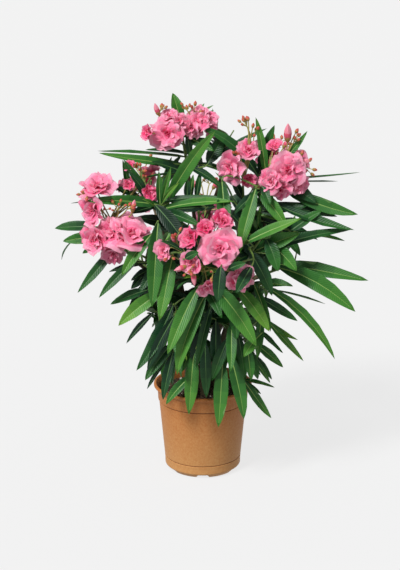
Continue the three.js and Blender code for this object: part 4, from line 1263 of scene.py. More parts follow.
# The trusses behind: name and mass, lead bloom, its size, the way it looks, and the others' angle and size.
BACK_TRUSSES = [
    ("back_left", "back_left_high", (-92, 122, 420), 0.75, (-0.4, 0.7, 0.6),
     ((60, 0.5), (180, 0.5), (280, 0.6))),
    ("back_right", "back_right_high", (112, 132, 448), 0.95, (0.4, 0.75, 0.5),
     ((20, 0.7), (120, 0.65), (240, 0.75))),
    ("back_mid", "back_mid", (4, 172, 373), 0.7, (0, 0.9, 0.45), ((10, 0.5), (170, 0.5), (270, 0.6))),
]


def ringed(name: str, mass: str, lead: tuple, size: float, facing: tuple, ring: tuple) -> Truss:
    """Draws a truss whose blooms stand in a ring round the largest, with two buds and two sprigs above.

    Args:
        name: the truss's name.
        mass: the mass that it stands on.
        lead: the largest bloom's place.
        size: its size.
        facing: the way it looks.
        ring: the degrees round the lead and the size of each other bloom.

    Returns:
        The truss.
    """
    look, place = aimed(facing), np.array(lead)
    blooms = [(lead, BACK_RADIUS * size, facing, 0.95)]
    for angle, share in ring:
        turn = math.radians(angle)
        offset = np.array([math.cos(turn), 0, math.sin(turn)]) * 36 * size
        centre = place + offset - np.array([0, 15, 0]) * np.sign(look[1])
        blooms.append((centre, BACK_RADIUS * share, look + offset * 0.011, 0.85))
    top = place + np.array([0, -12, 34])
    buds = [(top + np.array([side * 16, 0, 0]), (side * 0.6, 0.2, 0.9), 0.9) for side in (-1, 1)]
    sprigs = [(top + np.array([side * 6, 0, 0]), (side * 0.3, 0.3, 0.9), 5) for side in (-1, 1)]
    return Truss(name, mass, tuple(blooms), tuple(buds), tuple(sprigs))


TRUSSES = FRONT_TRUSSES + [ringed(*row) for row in BACK_TRUSSES]


class Kind(Enum):
    """What a stalk of a truss ends in."""

    BLOOM = "bloom"
    BUD = "bud"
    SPRIG = "sprig of tiny buds"


@dataclass
class Head:
    """What a stalk ends in. size is a bloom's radius, a bud's size, or how many buds a sprig has."""

    centre: Array
    facing: Array
    size: float
    kind: Kind
    turn: float = 0.0
    open: float = 1.0  # 1 is wide open
    start: Array | None = None  # where its stalk leaves the truss


@dataclass(frozen=True)
class PetalRing:
    """A ring of petals. Lengths are shares of the bloom's radius, and angles are degrees from its facing."""

    count: int
    length: float
    width: float
    foot: float  # the petal's slope where it starts
    tip: float  # and at its end
    cup: float  # how far its sides turn up
    ruffle: float
    lift: float
    tone: int


PETAL_RINGS = (
    PetalRing(5, 1.08, 1.34, 64, 110, 0.03, 0.13, -0.14, 2),
    PetalRing(4, 0.76, 1.16, 52, 104, 0.05, 0.17, -0.07, 2),
    PetalRing(3, 0.44, 0.70, 30, 84, 0.12, 0.13, -0.02, 2),
    PetalRing(3, 0.24, 0.36, 4, 44, 0.20, 0.10, 0.01, 1),
)
SEPALS = PetalRing(5, 0.34, 0.16, 12, 62, 0.1, 0.0, -0.52, 0)


@dataclass
class Trusses:
    """All trusses: double blooms, half-open blooms, buds, and the forked stalks that carry them."""

    rows: int = 6  # of points along a petal
    columns: int = 8
    fullness: float = 1.08  # of the smallest blooms, against their measure
    petal_thickness: float = 0.7
    petal_bands: tuple[int, ...] = (-1, 0, 1, 1, 2)  # shade of each band of a petal, from its foot
    bud_length: float = 21.0
    bud_radius: float = 4.4
    bud_rings: int = 7
    bud_sides: int = 10
    young_bud: float = 0.55  # the size under which a bud is still ochre
    pedicel_radius: float = 0.9
    heads: list[Head] = field(default_factory=list)

    def lay_out(self) -> list[tuple[Array, Array, Array]]:
        """Places every bloom, bud and sprig, and gathers them in heads.

        Returns:
            The foot, neck and node of each truss's main stalk.
        """
        stalks = []
        dice = Dice(TRUSS_SEED)
        for truss in TRUSSES:
            own = []
            for place, radius, way, opening in truss.blooms:
                size = radius * np.interp(radius, [14, 26], [self.fullness, 0.96])
                turn = dice.next() * 6
                own.append(Head(np.array(place, float), aimed(way), size, Kind.BLOOM, turn, opening))
            middle = gathered(own, "centre").mean(axis=0)
            for kind, rows in ((Kind.BUD, truss.buds), (Kind.SPRIG, truss.sprigs)):
                own += [Head(np.array(place, float), aimed(way), size, kind) for place, way, size in rows]
            mass = MASSES[truss.mass]
            foot = mass.tip + mass.way * GAP
            neck = foot + mass.way * 4
            node = mix(middle, neck, 0.45)
            for i, head in enumerate(own):
                head.start = mix(neck, node, mix(1, 0.4, i / len(own)))
            self.heads += own
            stalks.append((foot, neck, node))
        return stalks

    def blooms(self) -> list[Head]:
        """The heads that are blooms."""
        return [head for head in self.heads if head.kind is Kind.BLOOM]

    def build(self, stalks: list[tuple[Array, Array, Array]]) -> None:
        """Makes the petals, the buds and the stalks, each kind one piece.

        Args:
            stalks: the main stalks' points.
        """
        nodes = [f"truss_{truss.name}" for truss in TRUSSES]
        petals, buds, green = (Piece(name) for name in ("oleander_petals", "oleander_buds", "flower_stalks"))
        source = np.random.default_rng(PETAL_SEED)
        for ring in PETAL_RINGS:
            self.add_petals(petals, ring, source)
        self.add_petals(green, SEPALS, source, is_sepal=True)
        for foot, neck, node in stalks:
            line = curve_points(foot, neck, mix(neck, node, 0.5), node, 9)
            add_tube(green, line, np.linspace(2.0, 1.4, 9), 8, 1)
        for head in self.heads:
            self.add_stalk(green, petals, head)
            if head.kind is Kind.BUD:
                self.add_bud(buds, green, head.centre, head.facing, head.size)
            if head.kind is Kind.SPRIG:
                self.add_sprig(buds, green, head, source)
        petals.finish(PETALS, "blossom", nodes)
        buds.finish([BUD_PETAL, BUD_TIP, BUD_YOUNG, BUD_YOUNG_TIP], "blossom", nodes)
        green.finish([CALYX, GREEN_WOOD, PEDICEL], "blossom", nodes)

    def add_petals(self, piece: Piece, ring: PetalRing, source: np.random.Generator,
                   is_sepal: bool = False) -> None:
        """Adds one ring of petals to every bloom.

        A petal's middle line leaves the bloom's axis at the angle foot and turns evenly to the angle tip. Its
        half width grows from the foot outwards, its end is an arc cut back at the corners, its sides turn up
        by cup times the square of their place across, and its margin waves by ruffle.

        Args:
            piece: the piece that takes them.
            ring: the ring's sizes.
            source: for what differs from petal to petal.
            is_sepal: whether they are the pointed sepals behind the bloom.
        """
        blooms = self.blooms()
        heads = [head for head in blooms for _ in range(ring.count)]
        count = len(heads)
        centre = gathered(heads, "centre", 2)
        facing = gathered(heads, "facing")
        radius = gathered(heads, "size", 2)
        opening = gathered(heads, "open", 2)
        angle = gathered(heads, "turn") + ring.lift * 9 + np.tile(ring_angles(ring.count), len(blooms))
        angle = (angle + source.uniform(-0.3, 0.3, count))[:, None]
        across = unit(np.cross(facing, UP))
        up = np.cross(across, facing)
        out = (across * np.cos(angle) + up * np.sin(angle))[:, None, None]
        facing = facing[:, None, None]
        side = np.cross(facing, out)
        jitter = source.uniform(-1, 1, (5, count, 1, 1))
        length = ring.length * radius * (1 + 0.15 * jitter[0])
        half = ring.width * radius * (0.5 + 0.07 * jitter[1])
        slope = 1.0 if is_sepal else mix(0.35, 1.0, opening)
        start = np.radians(ring.foot + 12 * jitter[2]) * slope
        bend = np.radians(ring.tip - ring.foot + 22 * jitter[3]) * slope
        t = np.linspace(0, 1, self.rows)[None, :, None]
        u = np.linspace(-1, 1, self.columns)[None, None, :]
        wave = 0.05 * np.sin(5 * u + 9 * jitter[4]) + 0.035 * np.sin(11 * u + 7 * jitter[2])
        if is_sepal:
            s = t * (1 - 0.9 * np.abs(u) ** 1.2 + 0 * wave)
            wide = half * (1 - 0.55 * t)
        else:
            s = t * (1 - 0.26 * np.abs(u) ** 2.6 + wave)
            wide = half * (0.22 + 0.78 * np.sin(math.pi / 2 * t**0.85))
        turn = start + bend * s
        reach = 0.05 * radius + length * (np.cos(start) - np.cos(turn)) / bend
        rise = ring.lift * radius + length * (np.sin(turn) - np.sin(start)) / bend
        normal = np.sin(turn)[..., None] * facing - np.cos(turn)[..., None] * out
        cup = ring.cup * mix(1.5, 1.0, opening) * radius * u**2 * np.sqrt(t)
        ruffle = ring.ruffle * radius * t**1.6 * np.sin((3.6 + 1.4 * jitter[0]) * u + 7 * jitter[1] + 2.2 * t)
        ruffle = ruffle * (1.3 + 0.6 * jitter[4])
        upper = centre + out * reach[..., None] + facing * rise[..., None] + side * (u * wide)[..., None]
        upper = upper + normal * (cup + ruffle)[..., None]
        under = upper[:, 1:-1, 1:-1] - normal[:, 1:-1, 1:-1] * self.petal_thickness
        places = np.stack([u * wide + 0 * s, s * length], axis=-1)
        both = [(upper, under), (places, places[:, 1:-1, 1:-1])]
        points, places = (np.concatenate([part.reshape(count, -1, part.shape[-1]) for part in pair], axis=1)
                          for pair in both)
        tones = 0
        if not is_sepal:
            band = np.repeat(np.array(self.petal_bands), self.columns - 1)
            deeper = (opening[:, 0] < 0.6).astype(int) + (source.random((count, 1)) < 0.22)
            tones = np.clip(np.tile(ring.tone + band, 2) - deeper, 0, len(PETALS) - 1)
        piece.add(points, pillow_faces(self.rows, self.columns), tones, places)

    def add_stalk(self, green: Piece, petals: Piece, head: Head) -> None:
        """Adds the stalk that leads to a bloom, bud or sprig, and a bloom's tube behind its petals.

        Args:
            green: the piece that takes the stalk.
            petals: the piece that takes the tube.
            head: the bloom, bud or sprig.
        """
        behind = {Kind.BLOOM: 0.55 * head.size, Kind.BUD: 0.4 * self.bud_length * head.size, Kind.SPRIG: 0}
        back = behind[head.kind]
        end = head.centre - head.facing * back
        leaving = mix(head.start, end, 0.4)
        arriving = end - head.facing * np.linalg.norm(end - head.start) * 0.28
        line = curve_points(head.start, leaving, arriving, end, 9)
        add_tube(green, line, np.linspace(1.25, 1.0, 9) * self.pedicel_radius, 6, 2)
        if head.kind is Kind.BLOOM:
            share = np.linspace(0, 1, 5)
            funnel = end + head.facing * (share * back * 0.95)[:, None]
            add_tube(petals, funnel, mix(1.6, 0.2 * head.size, share**2), 10, 1)

    def add_bud(self, buds: Piece, green: Piece, centre: Array, facing: Array, size: float) -> None:
        """Adds a closed bud: a spindle whose five petals wind round it, in a cup of sepals.

        Its radius at a share s of its length is sin(pi s^0.8)^0.8, with five low ridges that turn with s.

        Args:
            buds: the piece that takes the bud.
            green: the piece that takes its calyx.
            centre: the bud's middle.
            facing: the way it points.
            size: against a full bud.
        """
        is_young = size < self.young_bud
        length = self.bud_length * size * (0.8 if is_young else 1)
        girth = self.bud_radius * size * (1.25 if is_young else 1)
        share = np.linspace(0.04, 0.96, self.bud_rings)
        radii = girth * np.sin(math.pi * share**0.8) ** 0.8
        line = centre + facing * ((share - 0.42) * length)[:, None]
        rings, ways, angles = tube_rings(line, radii, self.bud_sides)
        ridge = 0.14 * radii[:, None] * np.cos(5 * angles + 3.5 * share[:, None])
        ends = centre + facing * length * np.array([[-0.42], [0.58]])
        is_tip = np.repeat([*(np.arange(self.bud_rings - 1) > 2), False, True], self.bud_sides)
        add_rings(buds, rings + ways * ridge[..., None], ends, is_tip + (2 if is_young else 0))
        cup = centre + facing * ((np.array([0.0, 0.1, 0.22, 0.34]) - 0.46) * length)[:, None]
        rings, ways, angles = tube_rings(cup, girth * np.array([0.3, 0.66, 0.86, 0.9]), self.bud_sides)
        teeth = np.cos(5 * angles) * np.array([0, 0, 0.3, 1.0])[:, None] * length * 0.07
        add_rings(green, rings + facing * teeth[..., None], cup[[0, -1]])

    def add_sprig(self, buds: Piece, green: Piece, head: Head, source: np.random.Generator) -> None:
        """Adds the tiny buds of a sprig, each on a short stalk that forks from its foot.

        Args:
            buds: the piece that takes the buds.
            green: the piece that takes their stalks.
            head: the sprig.
            source: for what differs from bud to bud.
        """
        for _ in range(int(head.size)):
            way = unit(head.facing + source.normal(0, 0.55, 3))
            size = source.uniform(0.3, 0.48)
            end = head.centre + way * source.uniform(3, 13)
            line = curve_points(head.centre, head.centre + head.facing * 3, end - way * 2, end, 5)
            add_tube(green, line, np.full(5, self.pedicel_radius * 0.7), 5, 2)
            self.add_bud(buds, green, end + way * self.bud_length * size * 0.4, way, size)


# ---- Leaves ----
@dataclass
class Leaf:
    """A leaf: its root, the way it leaves, the way it faces, how far it bends, and its size."""

    base: Array
    direction: Array
    normal: Array
    droop: float
    length: float
    width: float
    tone: float = 3.0
    is_long: bool = False  # one of the long leaves that show from the front


@dataclass(frozen=True)
class Shoot:
    """A green shoot that carries whorls of leaves."""

    foot: Array
    way: Array
    length: float
    whorls: int
    phase: float


YOUNG_TONE = 1.2  # of the young leaves at a tip
LEAST_PLUMB = 0.15  # how near a leaf may bend to straight down, in radians
LEAST_BEND = 0.02
PROBES = np.linspace(0.06, 1, 22)  # shares of a leaf's length at which it is tested


def width_share(t: Array) -> Array:
    """The leaf's width at a share of its length: t^0.7 (1 - t)^0.85, at most one."""
    return t**0.7 * (1 - t) ** 0.85 / 0.344


def leaf_frames(leaves: Sequence[Leaf], t: Array) -> tuple[Array, Array, Array]:
    """Finds where leaves are at shares of their length.

    A leaf's middle line is an arc that bends towards the ground by its droop, or up where that is below zero,
    but no nearer to straight down than LEAST_PLUMB.

    Args:
        leaves: the leaves.
        t: the shares.

    Returns:
        The middle line, the way across and the way that each leaf faces, as (leaves, shares, 3).
    """
    direction = gathered(leaves, "direction")
    bend = np.minimum(gathered(leaves, "droop"), np.arccos(np.clip(-direction[:, 2], -1, 1)) - LEAST_PLUMB)
    bend = np.where(np.abs(bend) < LEAST_BEND, LEAST_BEND, bend)[:, None, None]
    over = down_from(direction)[:, None]
    direction = direction[:, None]
    turn = bend * np.asarray(t)[None, :, None]
    radius = gathered(leaves, "length", 2) / bend
    centre = gathered(leaves, "base", 1) + direction * radius * np.sin(turn)
    centre = centre + over * radius * (1 - np.cos(turn))
    along = direction * np.cos(turn) + over * np.sin(turn)
    side = unit(np.cross(along, gathered(leaves, "normal", 1)))
    return centre, side, np.cross(side, along)


@dataclass
class Foliage:
    """The green stems and twigs of all masses, and their leaves."""

    limbs: Limbs
    trusses: Trusses
    pot: Pot
    leaf_length: float = 128.0
    leaf_width: float = 23.0
    # Height, and how far the crown reaches from its middle there.
    crown: tuple[tuple[float, float], ...] = (
        (60, 88), (112, 104), (142, 115), (197, 146), (237, 168), (268, 186), (300, 205), (379, 220),
        (410, 216), (458, 194), (505, 152), (545, 104), (592, 50),
    )
    crown_middle: float = 10.0  # how far right of the pot's middle
    tries: tuple[float, ...] = (1.0, 0.84, 0.68, 0.54)
    rounds: int = 4  # of whorls
    root_reach: float = 30.0  # leaves may touch this near to their roots
    apart: float = 4.0  # from each other elsewhere
    fringe: float = 40.0  # how far a mass's leaves may pass into its neighbour's space
    pot_gap: float = 3.0
    bloom_gap: float = 0.85  # how near to a bloom's middle leaves may come, against its radius
    bud_reach: float = 7.0  # round a bud, where no leaf hides it
    lowest: float = 6.0
    outer_tone: float = 2.8
    painted_shade_deepening: float = 3.6  # painted shade: how far the tone darkens from the crown's outside to its middle
    painted_shade_tone: float = 3.5  # from which a leaf's rib and back take the painted shade too
    sections: tuple[float, ...] = (0.03, 0.12, 0.28, 0.46, 0.64, 0.81, 0.93)
    painted_shading: tuple[int, ...] = (3, 2, 1, 0, -1, -1, -2)  # painted shade of each band of a blade, darker at its root and lighter at its tip, in finishes
    rib_width: float = 0.75
    keel: float = 1.1
    skipped_twigs: tuple[str, ...] = ("low_front",)  # they would touch a limb
    # The crown as it shows from the front: height, and how far leaves reach left and right of its middle.
    outline: tuple[tuple[float, float, float], ...] = (
        (-173, -53, 60), (-143, -57, 72), (-113, -60, 83), (-83, -68, 93), (-53, -75, 98), (-23, -98, 102),
        (8, -90, 102), (38, -83, 120), (68, -83, 143), (98, -75, 150), (128, -90, 150), (158, -60, 113),
        (188, -53, 93), (203, -30, 60), (233, -23, 23),
    )
    # Where the sky shows through it: middle, half width and half height.
    sky: tuple[tuple[float, float, float, float], ...] = (
        (12, 143, 14, 9), (-9, 143, 4, 12), (-45, 141, 5, 11), (-6, 208, 5, 5), (9, 224, 5, 5),
        (27, 182, 12, 8), (69, 141, 9, 6), (51, 146, 3, 6), (-128, 116, 18, 4), (138, 120, 17, 6),
        (135, 108, 9, 5), (29, -74, 12, 14), (57, -92, 4, 5), (68, -32, 3, 5), (78, 15, 3, 5),
        (54, 71, 5, 5), (-21, 155, 4, 5), (-75, 65, 3, 3), (-20, -5, 5, 6), (-53, -32, 5, 8),
    )
    leaves: list[Leaf] = field(default_factory=list)
    placed: list[Array] = field(default_factory=list)
    twigs: list[Array] = field(default_factory=list)
    shown: Array | None = None  # what must show from the front: its place as seen, radius and nearness

    def shoots(self, mass: Mass) -> list[Shoot]:
        """Lists the shoots of a mass: its stem, and a side twig that forks from it.

        Args:
            mass: the mass.

        Returns:
            The shoots, with the stem first.
        """
        stem = Shoot(mass.foot, mass.way, mass.stem, 4, mass.phase)
        if mass.name in self.skipped_twigs:
            return [stem]
        way = leaned(mass.way, out_from(mass.way, math.radians(mass.phase + 90)), math.radians(52))
        fork = mass.foot + mass.way * 0.3 * mass.stem
        return [stem, Shoot(fork, way, mass.stem * 0.6, 2, mass.phase + 40)]

    def fine_shoots(self, mass: Mass, dice: Dice) -> list[Shoot]:
        """Lists the finer twigs of a mass, which carry young leaves.

        Args:
            mass: the mass.
            dice: for what differs from twig to twig.

        Returns:
            Three twigs up the stem, each with one whorl.
        """
        twigs = []
        for k in range(3):
            out = out_from(mass.way, math.radians(mass.phase + 200 + 130 * k) + dice.between(-0.4, 0.4))
            way = leaned(mass.way, out, math.radians(dice.between(38, 58)))
            foot = mass.foot + mass.way * mass.stem * (0.4 + 0.22 * k)
            twigs.append(Shoot(foot, way, dice.between(18, 27), 1, mass.phase + 75 * k))
        return twigs

    def whorls(self, mass: Mass, shoot: Shoot, dice: Dice) -> list[Leaf]:
        """Grows the leaves of a shoot: whorls of three, each turned by half a step from the last.

        Args:
            mass: the shoot's mass.
            shoot: the shoot.
            dice: for what differs from leaf to leaf.

        Returns:
            The leaves, from the foot up.
        """
        leaves = []
        for k in range(shoot.whorls):
            share = (k + 0.9) / (shoot.whorls + 0.1)
            base = shoot.foot + shoot.way * share * shoot.length
            for j in range(3):
                around = math.radians(shoot.phase + 120 * (j + k / 2))
                out = out_from(shoot.way, around + dice.between(-0.22, 0.22))
                opening = mix(mass.low, mass.high, share) + dice.between(-8, 8)
                direction = leaned(shoot.way, out, math.radians(opening))
                size = mass.size * mix(1, 0.85, share) * dice.between(0.86, 1.12)
                roll = dice.between(-0.35, 0.35)
                normal = turned_about(shoot.way - out * 0.2, direction, roll)
                droop = math.radians(mass.droop) * dice.between(0.6, 1.3)
                leaves.append(Leaf(base, direction, normal, droop, self.leaf_length * size,
                                   self.leaf_width * math.sqrt(size)))
        return leaves

    def young(self, mass: Mass, shoot: Shoot, dice: Dice) -> list[Leaf]:
        """Grows the tuft of young leaves at the tip of a shoot, slim and nearly upright on it.

        Args:
            mass: the shoot's mass.
            shoot: the shoot.
            dice: for what differs from leaf to leaf.

        Returns:
            The leaves.
        """
        leaves = []
        base = shoot.foot + shoot.way * shoot.length * 0.97
        for j in range(4):
            out = out_from(shoot.way, math.radians(shoot.phase + 95 * j) + dice.between(-0.3, 0.3))
            direction = leaned(shoot.way, out, math.radians(dice.between(14, 46)))
            length = dice.between(38, 84)
            droop = math.radians(mass.droop) * dice.between(0.3, 0.8)
            normal = turned_about(shoot.way - out * 0.4, direction, dice.between(-0.5, 0.5))
            width = length * dice.between(0.12, 0.16)
            leaves.append(Leaf(base, direction, normal, droop, length, width, YOUNG_TONE))
        return leaves

    @staticmethod
    def long_leaf(root: tuple, tip: tuple, width: float, turned: float, tone: int, bend: float) -> Leaf:
        """Grows a long leaf from its root to its tip.

        Args:
            root: where it starts.
            tip: where it ends.
            width: its width.
            turned: how far its face turns to the front, from 0 to 1.
            tone: its tone.
            bend: how far it bends towards the ground, in degrees.

        Returns:
            The leaf, an arc through both ends.
        """
        base = np.array(root, float)
        chord = np.array(tip, float) - base
        span = float(np.linalg.norm(chord))
        chord = chord / span
        over = down_from(chord)
        droop = math.radians(bend)
        direction = leaned(chord, over, -droop / 2)
        length = span * droop / (2 * math.sin(droop / 2))
        normal = mix(-over, TO_EYE, turned)
        return Leaf(base, direction, normal, droop, length, width * 1.08, tone, is_long=True)

    def note_shown(self) -> None:
        """Notes where the long leaves and trusses show from the front, so that no other leaf hides them."""
        t = np.linspace(0.08, 0.98, 14)
        heads = self.trusses.heads
        places = np.concatenate([leaf_frames(self.leaves, t)[0].reshape(-1, 3), gathered(heads, "centre")])
        half = gathered(self.leaves, "width", 1) / 2 * width_share(t) + 1.0
        reach = [head.size * 0.95 if head.kind is Kind.BLOOM else self.bud_reach for head in heads]
        reach = np.concatenate([half.reshape(-1), reach])
        self.shown = np.concatenate([seen(places), reach[:, None], (places @ TO_EYE)[:, None]], axis=1)

    def hides(self, points: Array) -> bool:
        """Tests whether any of some points stands before what must show from the front.

        Args:
            points: (points, 3).

        Returns:
            Whether one does.
        """
        look = seen(points)
        gaps = ((look[:, None] - self.shown[None, :, :2]) ** 2).sum(axis=-1)
        before = (points @ TO_EYE)[:, None] > self.shown[None, :, 3]
        return bool(((gaps < self.shown[:, 2] ** 2) & before).any())

    def is_open(self, points: Array) -> bool:
        """Tests whether some points keep to the crown's outline and off its gaps, as seen from the front.

        Args:
            points: (points, 3).

        Returns:
            Whether all do.
        """
        x, y = seen(points).T
        height, left, right = np.array(self.outline).T
        sky = np.array(self.sky).T[:, :, None]
        in_sky = ((x - sky[0]) / sky[2]) ** 2 + ((y - sky[1]) / sky[3]) ** 2 < 1
        outside = (x < np.interp(y, height, left)) | (x > np.interp(y, height, right))
        return not (outside | in_sky.any(axis=0)).any()

    def crown_reach(self, height: Array) -> Array:
        """How far the crown reaches from its middle at a height."""
        return np.interp(height, *np.array(self.crown).T)

    def fits(self, mass: Mass, leaf: Leaf) -> bool:
        """Tests whether a leaf stays in its mass's space, in the crown, off the pot and clear of the rest.

        It also keeps to the outline from the front, and hides nothing that must show there.

        Args:
            mass: the leaf's mass.
            leaf: the leaf.

        Returns:
            Whether it may grow.
        """
        centre, side, _ = leaf_frames([leaf], PROBES)
        middle, across = centre[0], side[0] * (leaf.width / 2 * width_share(PROBES))[:, None]
        whole = np.concatenate([middle, middle + across, middle - across])
        outer = np.linalg.norm(middle - leaf.base, axis=1) > self.root_reach
        if not outer.any():
            outer[-1] = True
        middle, points = middle[outer], whole[np.tile(outer, 3)]
        x, y, z = points.T
        in_pot = (np.hypot(x, y) < self.pot.rim_radius + self.pot_gap) & (z < self.pot.height + self.pot_gap)
        if in_pot.any() or z.min() < self.lowest or z.max() > self.crown[-1][0]:
            return False
        own = ((points - mass.seat) ** 2).sum(axis=1)
        for other in MASSES.values():
            if other is not mass:
                far = ((points - other.seat) ** 2).sum(axis=1)
                if ((far - own) / (2 * np.linalg.norm(mass.seat - other.seat))).min() < -self.fringe:
                    return False
        if (np.hypot(x - self.crown_middle, y) > self.crown_reach(z)).any():
            return False
        if not self.is_open(whole) or self.hides(whole):
            return False
        for head in self.trusses.blooms():
            if (((middle - head.centre) ** 2).sum(axis=1) < (self.bloom_gap * head.size) ** 2).any():
                return False
        others = np.concatenate(self.placed)
        near = others[(np.abs(others - middle.mean(axis=0)) < leaf.length * 0.6 + 10).all(axis=1)]
        gaps = ((middle[:, None] - near[None]) ** 2).sum(axis=-1)
        return not (gaps < self.apart**2).any()

    def grow_leaf(self, mass: Mass, leaf: Leaf, dice: Dice) -> None:
        """Grows a leaf where it fits, as it is or a little shorter, and else leaves it out.

        Args:
            mass: the leaf's mass.
            leaf: the leaf.
            dice: for its tone.
        """
        length, width = leaf.length, leaf.width
        for share in self.tries:
            leaf.length = length * share
            leaf.width = width * math.sqrt(share)
            if self.fits(mass, leaf):
                break
        else:
            return
        line = leaf_frames([leaf], PROBES)[0][0]
        self.placed.append(line[np.linalg.norm(line - leaf.base, axis=1) > self.root_reach])
        if leaf.tone > YOUNG_TONE:
            # Painted shade: the deeper a leaf lies inside the crown, the darker its tone.
            x, y, z = leaf_frames([leaf], np.array([0.6]))[0][0, 0]
            depth = 1 - math.hypot(x - self.crown_middle, y) / self.crown_reach(z)
            leaf.tone = self.outer_tone + self.painted_shade_deepening * max(0, depth - 0.1) + mass.tint_and_painted_light
        leaf.tone += dice.between(-1.0, 1.0)
        self.leaves.append(leaf)

    def grow(self) -> list[Shoot]:
        """Grows all masses: the long leaves first, then whorls in turn, then young leaves.

        Returns:
            Every shoot, for the stems.
        """
        self.placed = [limb.points for limb in self.limbs.limbs.values()]
        shoots: list[Shoot] = []
        whorls: list[list[tuple[Mass, Leaf]]] = []
        tufts: list[tuple[Mass, Leaf]] = []
        for index, mass in enumerate(MASSES.values()):
            dice = Dice(WHORL_SEED + index)
            own = self.shoots(mass)
            turned = [replace(shoot, phase=shoot.phase + 43 * k) for k in range(self.rounds) for shoot in own]
            whorls.append([(mass, leaf) for shoot in turned for leaf in self.whorls(mass, shoot, dice)])
            own += self.fine_shoots(mass, Dice(TWIG_SEED + index))
            tufts += [(mass, leaf) for shoot in own for leaf in self.young(mass, shoot, dice)]
            shoots += own
        self.leaves = [self.long_leaf(*row) for rows in LONG_LEAVES.values() for row in rows]
        self.placed += list(leaf_frames(self.leaves, np.linspace(0.1, 1, 22))[0])
        self.note_shown()
        self.join_leaves(shoots)
        dice = Dice(TONE_SEED)
        for pair in [pair for rank in zip_longest(*whorls) for pair in rank if pair] + tufts:
            self.grow_leaf(*pair, dice)
        return shoots

    def join_leaves(self, shoots: list[Shoot]) -> None:
        """Grows a fine twig to each long leaf from the nearest stem or twig, best one that is lower.

        Args:
            shoots: every shoot.
        """
        share = np.linspace(0, 1, 12)[:, None]
        stems = np.concatenate([shoot.foot + shoot.way * shoot.length * share for shoot in shoots])
        for leaf in sorted(self.leaves, key=lambda one: float(one.base @ TO_EYE)):
            gaps = np.linalg.norm(stems - leaf.base, axis=1) + 0.6 * np.maximum(0, stems[:, 2] - leaf.base[2])
            start = stems[gaps.argmin()]
            span = float(np.linalg.norm(leaf.base - start))
            if span > 3:
                lift = start + unit(leaf.base - start + UP * span * 0.4) * span * 0.35
                line = curve_points(start, lift, leaf.base - leaf.direction * span * 0.35, leaf.base, 8)
                self.twigs.append(line)
                stems = np.concatenate([stems, line[2:6]])

    def build(self, shoots: list[Shoot]) -> None:
        """Makes the stems and the leaves, each kind one piece.

        Args:
            shoots: every shoot.
        """
        nodes = [f"foliage_{name}" for name in MASSES]
        stems = Piece("green_stems")
        share = np.linspace(0, 1, 7)
        for shoot in shoots:
            line = shoot.foot + shoot.way * (share * shoot.length)[:, None]
            size = 2.1 if shoot.length > 50 else 1.6 if shoot.length > 30 else 1.1
            swell = 0.25 * np.cos(share * math.pi * 2 * shoot.whorls) ** 2
            add_tube(stems, line, size * mix(1, 0.75, share) + swell, 8)
        for line in self.twigs:
            add_tube(stems, line, np.linspace(1.5, 1.0, len(line)), 6)
        stems.finish([GREEN_WOOD], "foliage", nodes)
        blades = Piece("oleander_leaves")
        self.add_blades(blades)
        blades.finish([*LEAF_BLADES, LEAF_RIB, LEAF_RIB_PAINTED_SHADE, LEAF_BACK, LEAF_BACK_PAINTED_SHADE], "foliage", nodes)

    def add_blades(self, piece: Piece) -> None:
        """Adds every leaf: a thin closed blade, folded along its midrib.

        Seven points ring it at each section: an edge, the middle of one half, the two sides of the midrib,
        the middle of the other half, the other edge, and the keel below. The halves rise from the midrib as
        a shallow arch, the edges wave a little, and the blade leans sideways and twists by an amount of its
        own.

        Args:
            piece: the piece that takes them.
        """
        count = len(self.leaves)
        source = np.random.default_rng(BLADE_SEED)
        t = np.array([0.0, *self.sections, 1.0])
        centre, side, face = leaf_frames(self.leaves, t)
        length = gathered(self.leaves, "length", 1)
        twist = (source.normal(0, 0.22, (count, 1)) * (t - 0.1))[..., None]
        side, face = side * np.cos(twist) + face * np.sin(twist), face * np.cos(twist) - side * np.sin(twist)
        free = np.where(gathered(self.leaves, "is_long", 1), 0.3, 1.0)
        sway = source.normal(0, 0.045, (count, 1)) * length * free * np.sin(math.pi * t * 0.9) * t
        centre = centre + side * sway[..., None]
        half = gathered(self.leaves, "width", 1) / 2 * width_share(t)
        half = np.maximum(half, 0.9 * (1 - t) * (t < 0.3))
        rib = np.minimum(self.rib_width * (1 - t) + 0.1, 0.4 * half)
        fold = source.uniform(0.24, 0.6, (count, 1)) * half
        wave = source.uniform(0.06, 0.22, (count, 1)) * half
        wave = wave * np.sin(t * 11 + source.uniform(0, 6, (count, 1)))
        arch = fold * 0.72 + 0.05 * half
        none = np.zeros_like(half)
        keel = -np.minimum(self.keel, half * 0.6) - 0.15
        across = np.stack([-half, -half * 0.52, -rib, rib, half * 0.52, half, none], axis=2)
        rise = np.stack([fold + wave, arch, none, none, arch, fold - wave, keel], axis=2)
        rings = centre[:, :, None] + side[:, :, None] * across[..., None] + face[:, :, None] * rise[..., None]
        points = np.concatenate([rings[:, 1:-1].reshape(count, -1, 3), centre[:, [0, -1]]], axis=1)
        along = np.broadcast_to((length * t)[:, :, None], across.shape)
        places = np.stack([across, along], axis=-1)[:, 1:-1].reshape(count, -1, 2)
        places = np.concatenate([places, np.zeros((count, 2, 2))], axis=1)
        rows = len(self.sections) - 1
        column = np.tile(np.arange(7), rows + 2)
        row = np.repeat([*range(rows), 0, rows], 7)
        # Painted light and shade: each face's finish follows its leaf's tone and its band's painted shade;
        # rib and back darken on leaves in deep shade.
        tone = np.clip(gathered(self.leaves, "tone", 1), 0, len(LEAF_SHADES) - 1)
        is_in_painted_shade = tone > self.painted_shade_tone
        shade = np.round(tone * LEAF_STEPS).astype(int) + np.array(self.painted_shading)[row]
        rib_tone = len(LEAF_BLADES)
        tones = np.where(column >= 5, rib_tone + 2 + is_in_painted_shade, np.clip(shade, 0, rib_tone - 1))
        tones = np.where((column == 2) & (row < rows), rib_tone + is_in_painted_shade, tones)
        piece.add(points, capped_faces(len(self.sections), 7), tones, places)


